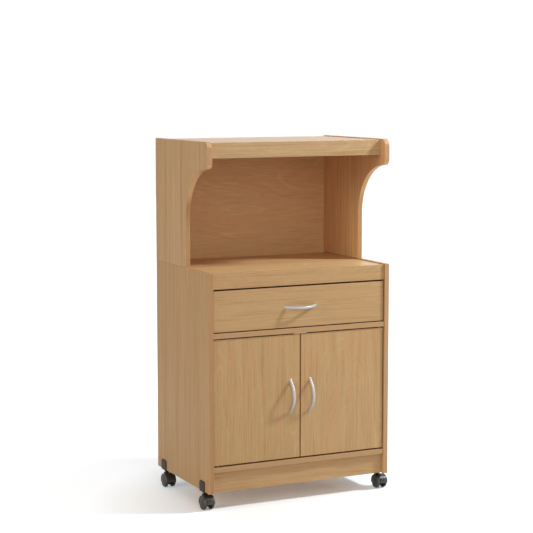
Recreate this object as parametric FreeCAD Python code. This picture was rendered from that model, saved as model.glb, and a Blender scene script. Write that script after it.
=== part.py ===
import FreeCAD, Part
import math
import os

from FreeCAD import Vector

# Microwave stand: a cupboard base with one drawer and two inset doors, an open
# bay with a shaped hutch above it, and four twin-wheel casters.
# Millimetres. +X is the right side, +Y goes to the back, +Z is up.
# The origin is the bottom centre of the bounding box, on the floor.

# ---------------------------------------------------------------- cabinet sizes
board = 15.0                # thickness of every laminated board
width = 610.0               # over the side panels
side_depth = 406.0          # front edge to rear edge of a side panel
base_side_height = 661.0
hutch_side_height = 384.0
top_step = 3.0              # side panels stand proud of the boards between them
edge_round = 0.8            # eased edge of the edge-banded boards
back_thickness = 3.0
rebate_width = 7.5          # rebate in the sides that takes the back panels
back_joint_gap = 1.0        # between the base back and the hutch back

front_setback = 6.0         # side front edge to the drawer front, doors and apron
shelf_setback = 2.0         # side front edge to the divider and bottom panel
kick_setback = 14.0
apron_height = 46.0
bottom_panel_top = 78.0     # top of the bottom panel above the lower edge of the sides

# ---------------------------------------------------------------- hutch sizes
fascia_setback = 31.0
nose_setback = 5.0          # shaped nose of the hutch sides
nose_top_radius = 23.0
nose_bottom_radius = 20.0
nose_height = 80.0          # top of the hutch side to the crown of the hollow arc
hollow_radius = 158.0       # hollow curve under the nose
post_setback = 172.0        # straight front edge of the lower hutch side

# ---------------------------------------------------------------- drawer sizes
drawer_front_height = 123.0
side_gap = 3.0              # beside the drawer front and the doors
drawer_top_gap = 5.0
drawer_bottom_gap = 3.2
drawer_board = 12.0
drawer_box_height = 92.0
drawer_box_length = 360.0
drawer_box_lift = 8.0       # box underside above the lower edge of the drawer front
drawer_bottom_lift = 8.0    # drawer bottom above the box underside
drawer_bottom_thickness = 3.0
bottom_groove_depth = 5.0   # seat of the drawer bottom in the sides and the front
runner_space = 12.5         # between the drawer side and the cabinet side
runner_length = 350.0
runner_height = 14.4
runner_setback = 4.0        # behind the drawer front
runner_groove_depth = 6.0
runner_clearance = 0.3      # above and below the runner in its groove
runner_tip_clearance = 0.5
runner_height_in_box = 45.0
runner_screw_inset = 42.0
screw_recess = 0.6          # screw heads lie this far inside the runner

# ---------------------------------------------------------------- door sizes
door_top_gap = 3.7
door_bottom_gap = 4.7
door_middle_gap = 4.0
pivot_inset = 12.0          # pivot axis from the outer edge of a door
pivot_radius = 3.0
pivot_grip = 18.0           # length pressed into the door
pivot_reach = 8.0           # length inside the bush
running_clearance = 0.05    # radial, for pins that turn
bush_wall = 2.0
bush_floor = 0.7
bush_flange_radius = 7.0
axial_clearance = 0.3

# ---------------------------------------------------------------- handle sizes
handle_hole_spacing = 96.0
handle_rise = 26.5          # centre line above the face
handle_leg_angle = 42.0     # degrees from the face
handle_half_width = 4.6
handle_half_thickness = 4.0
handle_foot_flare = 0.12    # the section grows by this share towards the feet
handle_section_count = 13
handle_from_centre = 33.0   # door handle line from the middle of the cabinet
handle_screw_radius = 2.0
handle_screw_head_radius = 4.0
handle_screw_head_height = 2.4
handle_thread_depth = 4.0

# ---------------------------------------------------------------- shelf and catch
shelf_setback_inside = 40.0
shelf_side_clearance = 1.0
shelf_pin_radius = 2.5
shelf_pin_grip = 8.0
shelf_pin_reach = 8.0
shelf_pin_inset = 60.0
catch_width = 44.0
catch_depth = 18.0
catch_height = 13.0
catch_wall = 2.0
catch_lip = 1.0
catch_screw_inset = 5.5
magnet_width = 13.0
magnet_height = 5.0
strike_thickness = 1.0
strike_width = 20.0
strike_height = 13.5
strike_inset = 1.0          # from the inner edge of the door
strike_top_gap = 0.5
strike_rivet_height = 3.0
catch_clearance = 0.3

# ---------------------------------------------------------------- connectors
blind_wall = 4.0            # wood left behind a dowel, a bolt or a cam
dowel_radius = 4.0
dowel_in_board = 22.0
dowel_inset = 120.0         # from the front and rear edge of a side panel
apron_dowel_height = 15.0
kick_dowel_inset = 16.0
hutch_dowel_inset = 45.0
drawer_dowel_radius = 3.0
drawer_dowel_in_side = 20.0
drawer_dowel_inset = 20.0   # dowels and screws from the edges of the drawer side
drawer_screw_bite = 20.0
cam_radius = 7.5
cam_inset = 24.0
cam_edge_inset = 70.0       # from the front and rear edge of a side panel
cam_bolt_radius = 3.0
cam_bolt_bite = 4.0         # length of the bolt inside the cam
screw_radius = 1.75
screw_head_radius = 3.5
screw_head_height = 2.2
screw_bite = 10.0
nail_radius = 1.0
nail_head_radius = 2.6
nail_head_height = 1.0
nail_length = 14.0
nail_pitch = 95.0

# ---------------------------------------------------------------- caster sizes
wheel_radius = 20.65
wheel_thickness = 9.8
wheel_inner_face = 8.0      # from the middle plane of the caster
wheel_dome = 1.4            # raised middle of the outer face
wheel_edge_round = 4.6
wheel_dome_radius = 6.1
wheel_cap_radius = 8.5
wheel_ring_depth = 0.9
wheel_ring_width = 1.6
wheel_blind_wall = 1.6      # outer face over the end of the axle
caster_trail = 15.0         # axle in front of the stem
stem_from_edge = 53.0       # from the front or rear edge of a side panel
axle_radius = 2.5
axle_end_gap = 0.4
hood_clearance = 1.25       # over the tread
hood_wall = 1.5
hood_side_inset = 0.6       # from the outer face of a wheel
hood_front_angle = -22.0    # degrees above the horizontal through the axle
hood_rear_angle = 196.0
hood_web_gap = 1.2          # beside the inner face of a wheel
hood_web_bottom = 12.0
hood_hub_radius = 7.5
hood_collar_radius = 9.5
hood_collar_height = 4.0
stem_radius = 5.0
stem_depth = 20.0           # length inside the hood
stem_tip_gap = 1.0
stem_shown = 4.45           # between the hood and the flange
stem_neck_radius = 4.0
stem_flange_radius = 7.5
stem_flange_height = 2.5
bracket_thickness = 3.0
bracket_width = 32.0
bracket_leaf_height = 28.0
bracket_corner = 6.0
bracket_screw_height = 16.0
bracket_screw_offset = 9.0

# brake levers of the two front casters, in a pocket of the hood
lever_gap = 0.4
lever_slot_gap = 0.6
lever_proud = 1.5           # plate in front of the hood
lever_toe_proud = 3.6       # and the toe that is pressed down
lever_low_angle = -20.0
lever_high_angle = 33.0
lever_toe_angle = 24.0
lever_neck_half = 4.6
lever_neck_height = 4.0
lever_boss_radius = 3.2
lever_pin_radius = 1.5
lever_pin_depth = 6.3       # lever pivot behind the inner face of the hood
lever_pin_above = 6.0       # and above the axle
lever_cheek_depth = 2.4     # web cut back round the pivot
lever_swing_depth = 4.9     # and below it, where the plate swings in
lever_pocket_depth = 9.9
lever_slot_margin = 4.0     # degrees of the slot above the plate
lever_pocket_margin = 22.0
pocket_low_angle = -62.0    # where the slot runs out below the web

# ---------------------------------------------------------------- derived places
handle_section_height = handle_rise + handle_half_thickness
front = -(side_depth - (handle_section_height - front_setback)) / 2.0
rear = front + side_depth
back_face = rear - back_thickness
inner_x = width / 2.0 - board
panel_mid_x = width / 2.0 - board / 2.0

hood_inner_radius = wheel_radius + hood_clearance
hood_outer_radius = hood_inner_radius + hood_wall
hood_half_width = wheel_inner_face + wheel_thickness - hood_side_inset
hood_web_half = wheel_inner_face - hood_web_gap
hood_top = wheel_radius + hood_outer_radius
stem_flange_low = hood_top + stem_shown
bracket_low = stem_flange_low + stem_flange_height
lever_half_width = wheel_inner_face - lever_gap
lever_pin_forward = hood_inner_radius - lever_pin_depth

base_bottom = bracket_low + bracket_thickness
base_top_z = base_bottom + base_side_height
worktop_top = base_top_z - top_step
hutch_top_z = base_top_z + hutch_side_height
hutch_board_top = hutch_top_z - top_step

apron_bottom_z = worktop_top - apron_height
drawer_high = apron_bottom_z - drawer_top_gap
drawer_low = drawer_high - drawer_front_height
divider_top_z = drawer_low - drawer_bottom_gap
divider_bottom_z = divider_top_z - board
floor_top_z = base_bottom + bottom_panel_top
floor_bottom_z = floor_top_z - board
front_face = front + front_setback
front_back = front_face + board

drawer_box_low = drawer_low + drawer_box_lift
drawer_box_high = drawer_box_low + drawer_box_height
drawer_side_x = inner_x - runner_space
runner_mid_z = drawer_box_low + runner_height_in_box
runner_start = front_back + runner_setback
groove_half = runner_height / 2.0 + runner_clearance
runner_tip_x = drawer_side_x - runner_groove_depth + runner_tip_clearance

door_low = floor_top_z + door_bottom_gap
door_high = divider_bottom_z - door_top_gap
door_outer_x = inner_x - side_gap
door_inner_x = door_middle_gap / 2.0
pivot_x = door_outer_x - pivot_inset
pivot_y = front_face + board / 2.0
door_mid_z = (door_low + door_high) / 2.0
drawer_mid_z = (drawer_low + drawer_high) / 2.0
bush_radius = pivot_radius + running_clearance + bush_wall
bush_depth = pivot_reach + axial_clearance + bush_floor

tolerance = 1e-4
overshoot = 1.0             # a cut runs this far past an open face

parts = {}


# ---------------------------------------------------------------- small helpers
def block(x, y, z):
    """Box between two limits on each axis."""
    size = Vector(x[1] - x[0], y[1] - y[0], z[1] - z[0])
    return Part.makeBox(size.x, size.y, size.z, Vector(x[0], y[0], z[0]))


def rod(radius, start, end):
    """Round bar between two points."""
    start = Vector(*start)
    along = Vector(*end) - start
    return Part.makeCylinder(radius, along.Length, start, along)


def joined(shapes):
    """One solid from pieces that touch or overlap."""
    whole = shapes[0]
    for shape in shapes[1:]:
        whole = whole.fuse(shape)
    return whole.removeSplitter()


def cut_all(shape, tools):
    """Shape with every tool taken out of it."""
    for tool in tools:
        shape = shape.cut(tool)
    return shape


def round_where(shape, radius, wanted):
    """Fillet the edges for which wanted(box of the edge) is true."""
    edges = [edge for edge in shape.Edges if wanted(edge.BoundBox)]
    return shape.makeFillet(radius, edges)


def near(a, b):
    return abs(a - b) < tolerance


def ease_front(shape, y):
    """Ease the edges round the face that lies in the plane at y."""
    return round_where(shape, edge_round, lambda box: near(box.YMin, y) and near(box.YMax, y))


def mirrored(shape):
    return shape.mirror(Vector(0, 0, 0), Vector(1, 0, 0))


def both_sides(name, left_shape):
    """Store the left piece and its mirror image."""
    parts[name + "_left"] = left_shape
    parts[name + "_right"] = mirrored(left_shape)


# ---------------------------------------------------------------- connectors
def end_dowels(board_z, places):
    """Dowels along X at both ends of a board, at the given Y places."""
    pegs = []
    for side in (-1, 1):
        for y in places:
            outer = side * (inner_x + board - blind_wall)
            inner = side * (inner_x - dowel_in_board)
            pegs.append(rod(dowel_radius, (outer, y, board_z), (inner, y, board_z)))
    return pegs


def end_cams(board_low, places):
    """Cams in the underside of a board and the bolts that they draw in."""
    fittings = []
    middle = board_low + board / 2.0
    top = board_low + board - blind_wall
    for side in (-1, 1):
        for y in places:
            x = side * (inner_x - cam_inset)
            outer_x = side * (inner_x + board - blind_wall)
            bolt_end_x = side * (inner_x - cam_inset + cam_radius - cam_bolt_bite)
            bolt = rod(cam_bolt_radius, (outer_x, y, middle), (bolt_end_x, y, middle))
            fittings.append(rod(cam_radius, (x, y, board_low), (x, y, top)).cut(bolt))
            fittings.append(bolt)
    return fittings


dowel_places = (front + dowel_inset, rear - dowel_inset)
cam_places = (front + cam_edge_inset, rear - cam_edge_inset)
front_board_mid = front_face + board / 2.0
kick_mid = front + kick_setback + board / 2.0
fascia_mid = front + fascia_setback + board / 2.0
hutch_dowel_places = (front + post_setback + hutch_dowel_inset, rear - hutch_dowel_inset)
full_boards_low = {
    "worktop": worktop_top - board,
    "divider_shelf": divider_bottom_z,
    "bottom_panel": floor_bottom_z,
    "hutch_top": hutch_board_top - board,
}

connectors = []
for low in full_boards_low.values():
    connectors += end_dowels(low + board / 2.0, dowel_places)
    connectors += end_cams(low, cam_places)
fascia_low = hutch_board_top - apron_height
connectors += end_dowels(apron_bottom_z + apron_dowel_height, (front_board_mid,))
connectors += end_dowels(fascia_low + apron_dowel_height, (fascia_mid,))
for kick_z in (base_bottom + kick_dowel_inset, floor_bottom_z - kick_dowel_inset):
    connectors += end_dowels(kick_z, (kick_mid,))
for side in (-1, 1):
    for y in hutch_dowel_places:
        x = side * panel_mid_x
        low = (x, y, base_top_z - dowel_in_board)
        high = (x, y, base_top_z + dowel_in_board)
        connectors.append(rod(dowel_radius, low, high))


# ---------------------------------------------------------------- screws of the cabinet
def wood_screw(head_face, direction, length):
    """Screw whose head stands on head_face; direction points into the wood."""
    start = Vector(*head_face)
    along = Vector(*direction)
    head_top = start - along * screw_head_height
    head = Part.makeCylinder(screw_head_radius, screw_head_height, head_top, along)
    shank = Part.makeCylinder(screw_radius, length, start, along)
    return joined([head, shank])


stem_places = (front + stem_from_edge, rear - stem_from_edge)
runner_screw_places = (
    runner_start + runner_screw_inset,
    runner_start + runner_length / 2.0,
    runner_start + runner_length - runner_screw_inset,
)
screws = []
for side in (-1, 1):
    for y in runner_screw_places:
        head_x = side * (runner_tip_x + screw_head_height + screw_recess)
        length = abs(side * inner_x - head_x) + screw_bite
        screws.append(wood_screw((head_x, y, runner_mid_z), (side, 0, 0), length))
    for stem_y in stem_places:
        for offset in (-bracket_screw_offset, bracket_screw_offset):
            place = (side * (inner_x - bracket_thickness), stem_y + offset,
                     base_bottom + bracket_screw_height)
            screws.append(wood_screw(place, (side, 0, 0), bracket_thickness + screw_bite))

catch_front = front_back + strike_thickness + catch_clearance
catch_low = divider_bottom_z - catch_height
for y in (catch_front + catch_screw_inset, catch_front + catch_depth - catch_screw_inset):
    screws.append(wood_screw((0, y, catch_low), (0, 0, 1), catch_height + screw_bite))


def back_nails(low, high):
    """Flat-headed nails down both edges of a back panel, flush with it."""
    nails = []
    count = int((high - low) // nail_pitch) + 1
    step = (high - low - 2.0 * board) / (count - 1)
    for side in (-1, 1):
        x = side * (inner_x + rebate_width / 2.0)
        for index in range(count):
            z = low + board + index * step
            head = rod(nail_head_radius, (x, rear - nail_head_height, z), (x, rear, z))
            shank = rod(nail_radius, (x, rear - nail_length, z), (x, rear - nail_head_height, z))
            nails.append(joined([head, shank]))
    return nails


base_back_top = worktop_top - board / 2.0
nails = back_nails(base_bottom, base_back_top)
nails += back_nails(base_back_top + back_joint_gap, hutch_board_top)


def drilled(shape):
    """Shape with the seats of every connector, screw and nail that reaches it."""
    for tool in connectors + screws + nails:
        if shape.BoundBox.intersect(tool.BoundBox):
            shape = shape.cut(tool)
    return shape


# ---------------------------------------------------------------- base carcass
def rear_rebate(low, high):
    """Rebate at the inner rear edge of the left side panels."""
    return block((-inner_x - rebate_width, -inner_x), (back_face, rear), (low, high))


def make_base():
    side = block((-width / 2.0, -inner_x), (front, rear), (base_bottom, base_top_z))
    side = ease_front(side, front).cut(rear_rebate(base_bottom, base_top_z))
    pin_seats = [pin.copy() for pin in shelf_pin_shapes() if pin.BoundBox.XMax < 0]
    both_sides("base_side", cut_all(drilled(side), pin_seats))

    inside = (-inner_x, inner_x)
    apron = block(inside, (front_face, front_back), (apron_bottom_z, worktop_top))
    parts["apron"] = drilled(ease_front(apron, front_face))
    worktop = block(inside, (front_back, back_face), (worktop_top - board, worktop_top))
    parts["worktop"] = drilled(worktop)

    shelf_front = front + shelf_setback
    divider = block(inside, (shelf_front, back_face), (divider_bottom_z, divider_top_z))
    parts["divider_shelf"] = cut_all(drilled(ease_front(divider, shelf_front)), bush_seats())
    floor = block(inside, (shelf_front, back_face), (floor_bottom_z, floor_top_z))
    parts["bottom_panel"] = cut_all(drilled(ease_front(floor, shelf_front)), bush_seats())

    kick_face = front + kick_setback
    kick = block(inside, (kick_face, kick_face + board), (base_bottom, floor_bottom_z))
    parts["kick_plate"] = drilled(ease_front(kick, kick_face))

    back_x = (-inner_x - rebate_width, inner_x + rebate_width)
    back = block(back_x, (back_face, rear), (base_bottom, base_back_top))
    parts["base_back"] = drilled(back)


# ---------------------------------------------------------------- adjustable shelf
shelf_low = (floor_top_z + divider_bottom_z) / 2.0 - board / 2.0
shelf_front_y = front + shelf_setback_inside
shelf_rear_y = back_face - axial_clearance


def shelf_pin_shapes():
    """Four pins, half in the side panels and half under the shelf."""
    pins = []
    z = shelf_low - shelf_pin_radius
    for side in (-1, 1):
        for y in (shelf_front_y + shelf_pin_inset, shelf_rear_y - shelf_pin_inset):
            outer = (side * (inner_x + shelf_pin_grip), y, z)
            inner = (side * (inner_x - shelf_pin_reach), y, z)
            pins.append(rod(shelf_pin_radius, outer, inner))
    return pins


def make_adjustable_shelf():
    reach = inner_x - shelf_side_clearance
    shelf = block((-reach, reach), (shelf_front_y, shelf_rear_y), (shelf_low, shelf_low + board))
    parts["adjustable_shelf"] = ease_front(shelf, shelf_front_y)
    parts["shelf_pins"] = Part.makeCompound(shelf_pin_shapes())


# ---------------------------------------------------------------- hutch
def hutch_outline():
    """Closed outline of a hutch side in the YZ plane: nose, hollow arc and post."""
    nose_y = front + nose_setback
    crown_z = hutch_top_z - nose_height
    post_y = front + post_setback
    arc_y = post_y - hollow_radius
    arc_z = crown_z - hollow_radius
    x = -width / 2.0

    # The small arc under the nose touches the nose line and the hollow arc.
    low_y = nose_y + nose_bottom_radius
    reach = hollow_radius + nose_bottom_radius
    low_z = arc_z + math.sqrt(reach ** 2 - (low_y - arc_y) ** 2)
    lean = math.atan2(low_z - arc_z, low_y - arc_y)
    touch = (arc_y + hollow_radius * math.cos(lean), arc_z + hollow_radius * math.sin(lean))

    def at(y, z):
        return Vector(x, y, z)

    def arc(centre, radius, start, end):
        middle = math.radians((start + end) / 2.0)
        ends = [math.radians(start), middle, math.radians(end)]
        points = [at(centre[0] + radius * math.cos(a), centre[1] + radius * math.sin(a))
                  for a in ends]
        return Part.Arc(*points).toShape()

    lean_degrees = math.degrees(lean)
    top_centre = (nose_y + nose_top_radius, hutch_top_z - nose_top_radius)
    edges = [
        Part.makeLine(at(rear, base_top_z), at(rear, hutch_top_z)),
        Part.makeLine(at(rear, hutch_top_z), at(top_centre[0], hutch_top_z)),
        arc(top_centre, nose_top_radius, 90.0, 180.0),
        Part.makeLine(at(nose_y, top_centre[1]), at(nose_y, low_z)),
        arc((low_y, low_z), nose_bottom_radius, 180.0, 180.0 + lean_degrees),
        arc((arc_y, arc_z), hollow_radius, lean_degrees, 0.0),
        Part.makeLine(at(post_y, arc_z), at(post_y, base_top_z)),
        Part.makeLine(at(post_y, base_top_z), at(rear, base_top_z)),
    ]
    return Part.Wire(Part.__sortEdges__(edges))


def make_hutch():
    panel = Part.Face(hutch_outline()).extrude(Vector(board, 0, 0))
    faces = (-width / 2.0, -inner_x)

    def shaped_edge(box):
        on_face = near(box.XMin, box.XMax) and any(near(box.XMin, x) for x in faces)
        return on_face and not near(box.YMin, rear) and not near(box.ZMax, base_top_z)

    panel = round_where(panel, edge_round, shaped_edge)
    panel = panel.cut(rear_rebate(base_top_z, hutch_board_top))
    both_sides("hutch_side", drilled(panel))

    inside = (-inner_x, inner_x)
    fascia_face = front + fascia_setback
    fascia = block(inside, (fascia_face, fascia_face + board), (fascia_low, hutch_board_top))
    parts["fascia"] = drilled(ease_front(fascia, fascia_face))
    top_low = hutch_board_top - board
    top = block(inside, (fascia_face + board, back_face), (top_low, hutch_board_top))
    parts["hutch_top"] = drilled(top)
    back_x = (-inner_x - rebate_width, inner_x + rebate_width)
    back_low = base_back_top + back_joint_gap
    back = block(back_x, (back_face, rear), (back_low, hutch_board_top))
    parts["hutch_back"] = drilled(back)


# ---------------------------------------------------------------- handles
def handle_points(count):
    """Centre line of the bow as (along, rise, slope) from one foot to the other."""
    half = handle_hole_spacing / 2.0
    lean = math.radians(handle_leg_angle)
    bend = (half * math.tan(lean) - handle_rise) / (1.0 / math.cos(lean) - 1.0)
    straight = bend * math.sin(lean)
    points = []
    for index in range(count):
        along = -half + 2.0 * half * index / (count - 1)
        if abs(along) > straight:
            rise = (half - abs(along)) * math.tan(lean)
            slope = -math.copysign(lean, along)
        else:
            slope = -math.asin(along / bend)
            rise = handle_rise - bend * (1.0 - math.cos(slope))
        points.append((along, rise, slope))
    return points


def bow_handle():
    """Bow handle along X on the plane y = 0, rising towards -Y."""
    sections = []
    points = handle_points(handle_section_count)
    for along, rise, slope in points:
        share = abs(along) / (handle_hole_spacing / 2.0)
        fatness = 1.0 + handle_foot_flare * share ** 2
        half_wide = handle_half_width * fatness
        half_thick = handle_half_thickness * fatness
        normal = Vector(math.sin(slope), math.cos(slope), 0)
        centre = Vector(along, -rise, 0)
        oval = Part.Ellipse(centre + Vector(0, 0, half_wide), centre + normal * half_thick, centre)
        sections.append(Part.Wire(oval.toShape()))
    # Both ends run on past the face and are cut off flat on it.
    lean = points[0][2]
    run_on = handle_half_thickness * 2.0
    for end, sign in ((0, -1.0), (-1, 1.0)):
        direction = Vector(sign * math.cos(lean), math.sin(lean), 0)
        copy = sections[end].copy()
        copy.translate(direction * run_on)
        if end == 0:
            sections.insert(0, copy)
        else:
            sections.append(copy)
    bar = Part.makeLoft(sections, True, False)
    reach = handle_hole_spacing
    behind = block((-reach, reach), (0.0, reach), (-reach, reach))
    bar = bar.cut(behind)
    half = handle_hole_spacing / 2.0
    holes = [rod(handle_screw_radius, (x, -handle_thread_depth, 0), (x, overshoot, 0))
             for x in (-half, half)]
    return cut_all(bar, holes)


def handle_screws(centre, upright):
    """Two screws through a front into the feet of a handle."""
    half = handle_hole_spacing / 2.0
    shapes = []
    for offset in (-half, half):
        x = centre[0] + (0.0 if upright else offset)
        z = centre[1] + (offset if upright else 0.0)
        tip = (x, front_face - handle_thread_depth, z)
        neck = (x, front_back, z)
        top = (x, front_back + handle_screw_head_height, z)
        shank = rod(handle_screw_radius, tip, neck)
        head = rod(handle_screw_head_radius, neck, top)
        shapes.append(joined([shank, head]))
    return shapes


def placed_handle(centre, upright):
    """Bow handle on a front, with its middle at centre (x, z)."""
    handle = bow_handle()
    if upright:
        handle.rotate(Vector(0, 0, 0), Vector(0, 1, 0), 90.0)
    handle.translate(Vector(centre[0], front_face, centre[1]))
    return handle


# ---------------------------------------------------------------- drawer
def make_drawer():
    centre = (0.0, drawer_mid_z)
    handle = placed_handle(centre, upright=False)
    fixing = handle_screws(centre, upright=False)

    box_front = front_back
    box_rear = front_back + drawer_box_length
    side_in_x = drawer_side_x - drawer_board
    back_front = box_rear - drawer_board
    box_z = (drawer_box_low, drawer_box_high)
    bottom_low = drawer_box_low + drawer_bottom_lift
    bottom_edge = side_in_x + bottom_groove_depth
    bottom = block((-bottom_edge, bottom_edge), (box_front - bottom_groove_depth, box_rear),
                   (bottom_low, bottom_low + drawer_bottom_thickness))

    pegs = []
    corner_y = box_rear - drawer_board / 2.0
    for side in (-1, 1):
        x = side * (drawer_side_x - drawer_board / 2.0)
        for z in (drawer_box_low + drawer_dowel_inset, drawer_box_high - drawer_dowel_inset):
            ahead = (x, front_face + blind_wall, z)
            behind = (x, front_back + drawer_dowel_in_side, z)
            pegs.append(rod(drawer_dowel_radius, ahead, behind))
            outer = (side * drawer_side_x, corner_y, z)
            inner = (side * (side_in_x - drawer_screw_bite), corner_y, z)
            pegs.append(rod(screw_radius, outer, inner))

    face_x = door_outer_x
    panel = block((-face_x, face_x), (front_face, front_back), (drawer_low, drawer_high))
    parts["drawer_front"] = cut_all(ease_front(panel, front_face), fixing + pegs + [bottom])

    side = block((-drawer_side_x, -side_in_x), (box_front, box_rear), box_z)
    groove = block((-drawer_side_x, -drawer_side_x + runner_groove_depth),
                   (runner_start - axial_clearance, box_rear),
                   (runner_mid_z - groove_half, runner_mid_z + groove_half))
    both_sides("drawer_side", cut_all(side, [groove, bottom] + pegs))
    back = block((-side_in_x, side_in_x), (back_front, box_rear),
                 (bottom_low + drawer_bottom_thickness, drawer_box_high))
    parts["drawer_back"] = cut_all(back, pegs)
    parts["drawer_bottom"] = bottom
    parts["drawer_handle"] = handle
    parts["drawer_fittings"] = Part.makeCompound(fixing + pegs)

    runner = block((-inner_x, -runner_tip_x), (runner_start, runner_start + runner_length),
                   (runner_mid_z - runner_height / 2.0, runner_mid_z + runner_height / 2.0))
    wells = [rod(screw_head_radius, (-runner_tip_x, y, runner_mid_z),
                 (-runner_tip_x - screw_head_height, y, runner_mid_z))
             for y in runner_screw_places]
    both_sides("drawer_runner", drilled(cut_all(runner, wells)))


# ---------------------------------------------------------------- doors
def bush(z_face, direction, flange_height):
    """Flanged bush whose flange stands on z_face; direction points out of the board."""
    hidden = z_face - direction * bush_depth
    body = rod(bush_radius, (-pivot_x, pivot_y, hidden), (-pivot_x, pivot_y, z_face))
    flange_end = z_face + direction * flange_height
    flange = rod(bush_flange_radius, (-pivot_x, pivot_y, z_face), (-pivot_x, pivot_y, flange_end))
    bore = rod(pivot_radius + running_clearance,
               (-pivot_x, pivot_y, hidden + direction * bush_floor),
               (-pivot_x, pivot_y, flange_end))
    return joined([body, flange]).cut(bore)


def bush_pair():
    """Lower and upper bush of the left door."""
    lower = bush(floor_top_z, 1.0, door_bottom_gap - axial_clearance)
    upper = bush(divider_bottom_z, -1.0, door_top_gap - axial_clearance)
    return [lower, upper]


def bush_seats():
    """Holes for the bushes in the bottom panel and the divider, both sides."""
    seats = []
    for x in (-pivot_x, pivot_x):
        lower = (x, pivot_y, floor_top_z - bush_depth)
        upper = (x, pivot_y, divider_bottom_z + bush_depth)
        seats.append(rod(bush_radius, lower, (x, pivot_y, floor_top_z)))
        seats.append(rod(bush_radius, (x, pivot_y, divider_bottom_z), upper))
    return seats


def make_doors():
    centre = (-handle_from_centre, door_mid_z)
    fixing = handle_screws(centre, upright=True)
    pins = [
        rod(pivot_radius, (-pivot_x, pivot_y, floor_top_z - pivot_reach),
            (-pivot_x, pivot_y, door_low + pivot_grip)),
        rod(pivot_radius, (-pivot_x, pivot_y, door_high - pivot_grip),
            (-pivot_x, pivot_y, divider_bottom_z + pivot_reach)),
    ]
    strike_edge = -door_inner_x - strike_inset
    strike_low = door_high - strike_top_gap - strike_height
    strike = block((strike_edge - strike_width, strike_edge),
                   (front_back, front_back + strike_thickness),
                   (strike_low, strike_low + strike_height))
    rivet_x = strike_edge - strike_width / 2.0
    rivet_z = strike_low + strike_rivet_height
    rivet = rod(screw_radius, (rivet_x, front_back - screw_bite, rivet_z),
                (rivet_x, front_back + strike_thickness, rivet_z))

    panel = block((-door_outer_x, -door_inner_x), (front_face, front_back), (door_low, door_high))
    panel = cut_all(ease_front(panel, front_face), fixing + pins + [rivet])
    both_sides("door", panel)
    both_sides("door_handle", placed_handle(centre, upright=True))
    both_sides("door_strike", strike.cut(rivet))
    both_sides("door_pivots", Part.makeCompound(pins))
    both_sides("door_screws", Part.makeCompound(fixing + [rivet]))
    bushes = bush_pair()
    parts["pivot_bushes"] = Part.makeCompound(bushes + [mirrored(shape) for shape in bushes])


def make_catch():
    case = block((-catch_width / 2.0, catch_width / 2.0),
                 (catch_front, catch_front + catch_depth), (catch_low, divider_bottom_z))
    magnets = []
    magnet_z = (catch_low + catch_lip, catch_low + catch_lip + magnet_height)
    for side in (-1, 1):
        outer = side * (catch_width / 2.0 - catch_wall)
        magnet_x = sorted((outer, outer - side * magnet_width))
        magnets.append(block(magnet_x, (catch_front, catch_front + catch_depth / 2.0), magnet_z))
    case = drilled(cut_all(case, magnets))
    parts["magnetic_catch"] = Part.makeCompound([case] + magnets)


# ---------------------------------------------------------------- casters
def ring_sector(inner, outer, half_width, low, high):
    """Part of a ring about the X axis; angles in degrees up from -Y."""
    start = math.radians(low)
    sweep = high - low

    def at(radius, angle):
        return Vector(-half_width, -radius * math.cos(angle), radius * math.sin(angle))

    face_edge = Part.makeLine(at(inner, start), at(outer, start))
    face = face_edge.extrude(Vector(2.0 * half_width, 0, 0))
    return face.revolve(Vector(0, 0, 0), Vector(-1, 0, 0), sweep)


def wheel_shape():
    """Right-hand wheel of a pair about the X axis, outer face towards +X."""
    inner = wheel_inner_face
    outer = inner + wheel_thickness
    rim = wheel_radius
    bore = axle_radius + running_clearance
    cap = wheel_cap_radius
    blind = outer - wheel_blind_wall
    points = [
        (blind, 0.0), (blind, bore), (inner, bore), (inner, rim), (outer, rim),
        (outer, cap + wheel_ring_width), (outer - wheel_ring_depth, cap + wheel_ring_width),
        (outer - wheel_ring_depth, cap), (outer + wheel_dome, wheel_dome_radius),
        (outer + wheel_dome, 0.0), (blind, 0.0),
    ]
    wire = Part.makePolygon([Vector(x, 0, r) for x, r in points])
    wheel = Part.Face(wire).revolve(Vector(0, 0, 0), Vector(1, 0, 0), 360.0)

    def rounded(shape, radius, x, size):
        def rim_edge(box):
            return near(box.XMin, x) and near(box.XMax, x) and near(box.ZMax, size)
        return round_where(shape, radius, rim_edge)

    wheel = rounded(wheel, wheel_edge_round, outer, rim)
    return rounded(wheel, wheel_edge_round / 2.0, inner, rim)


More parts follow.
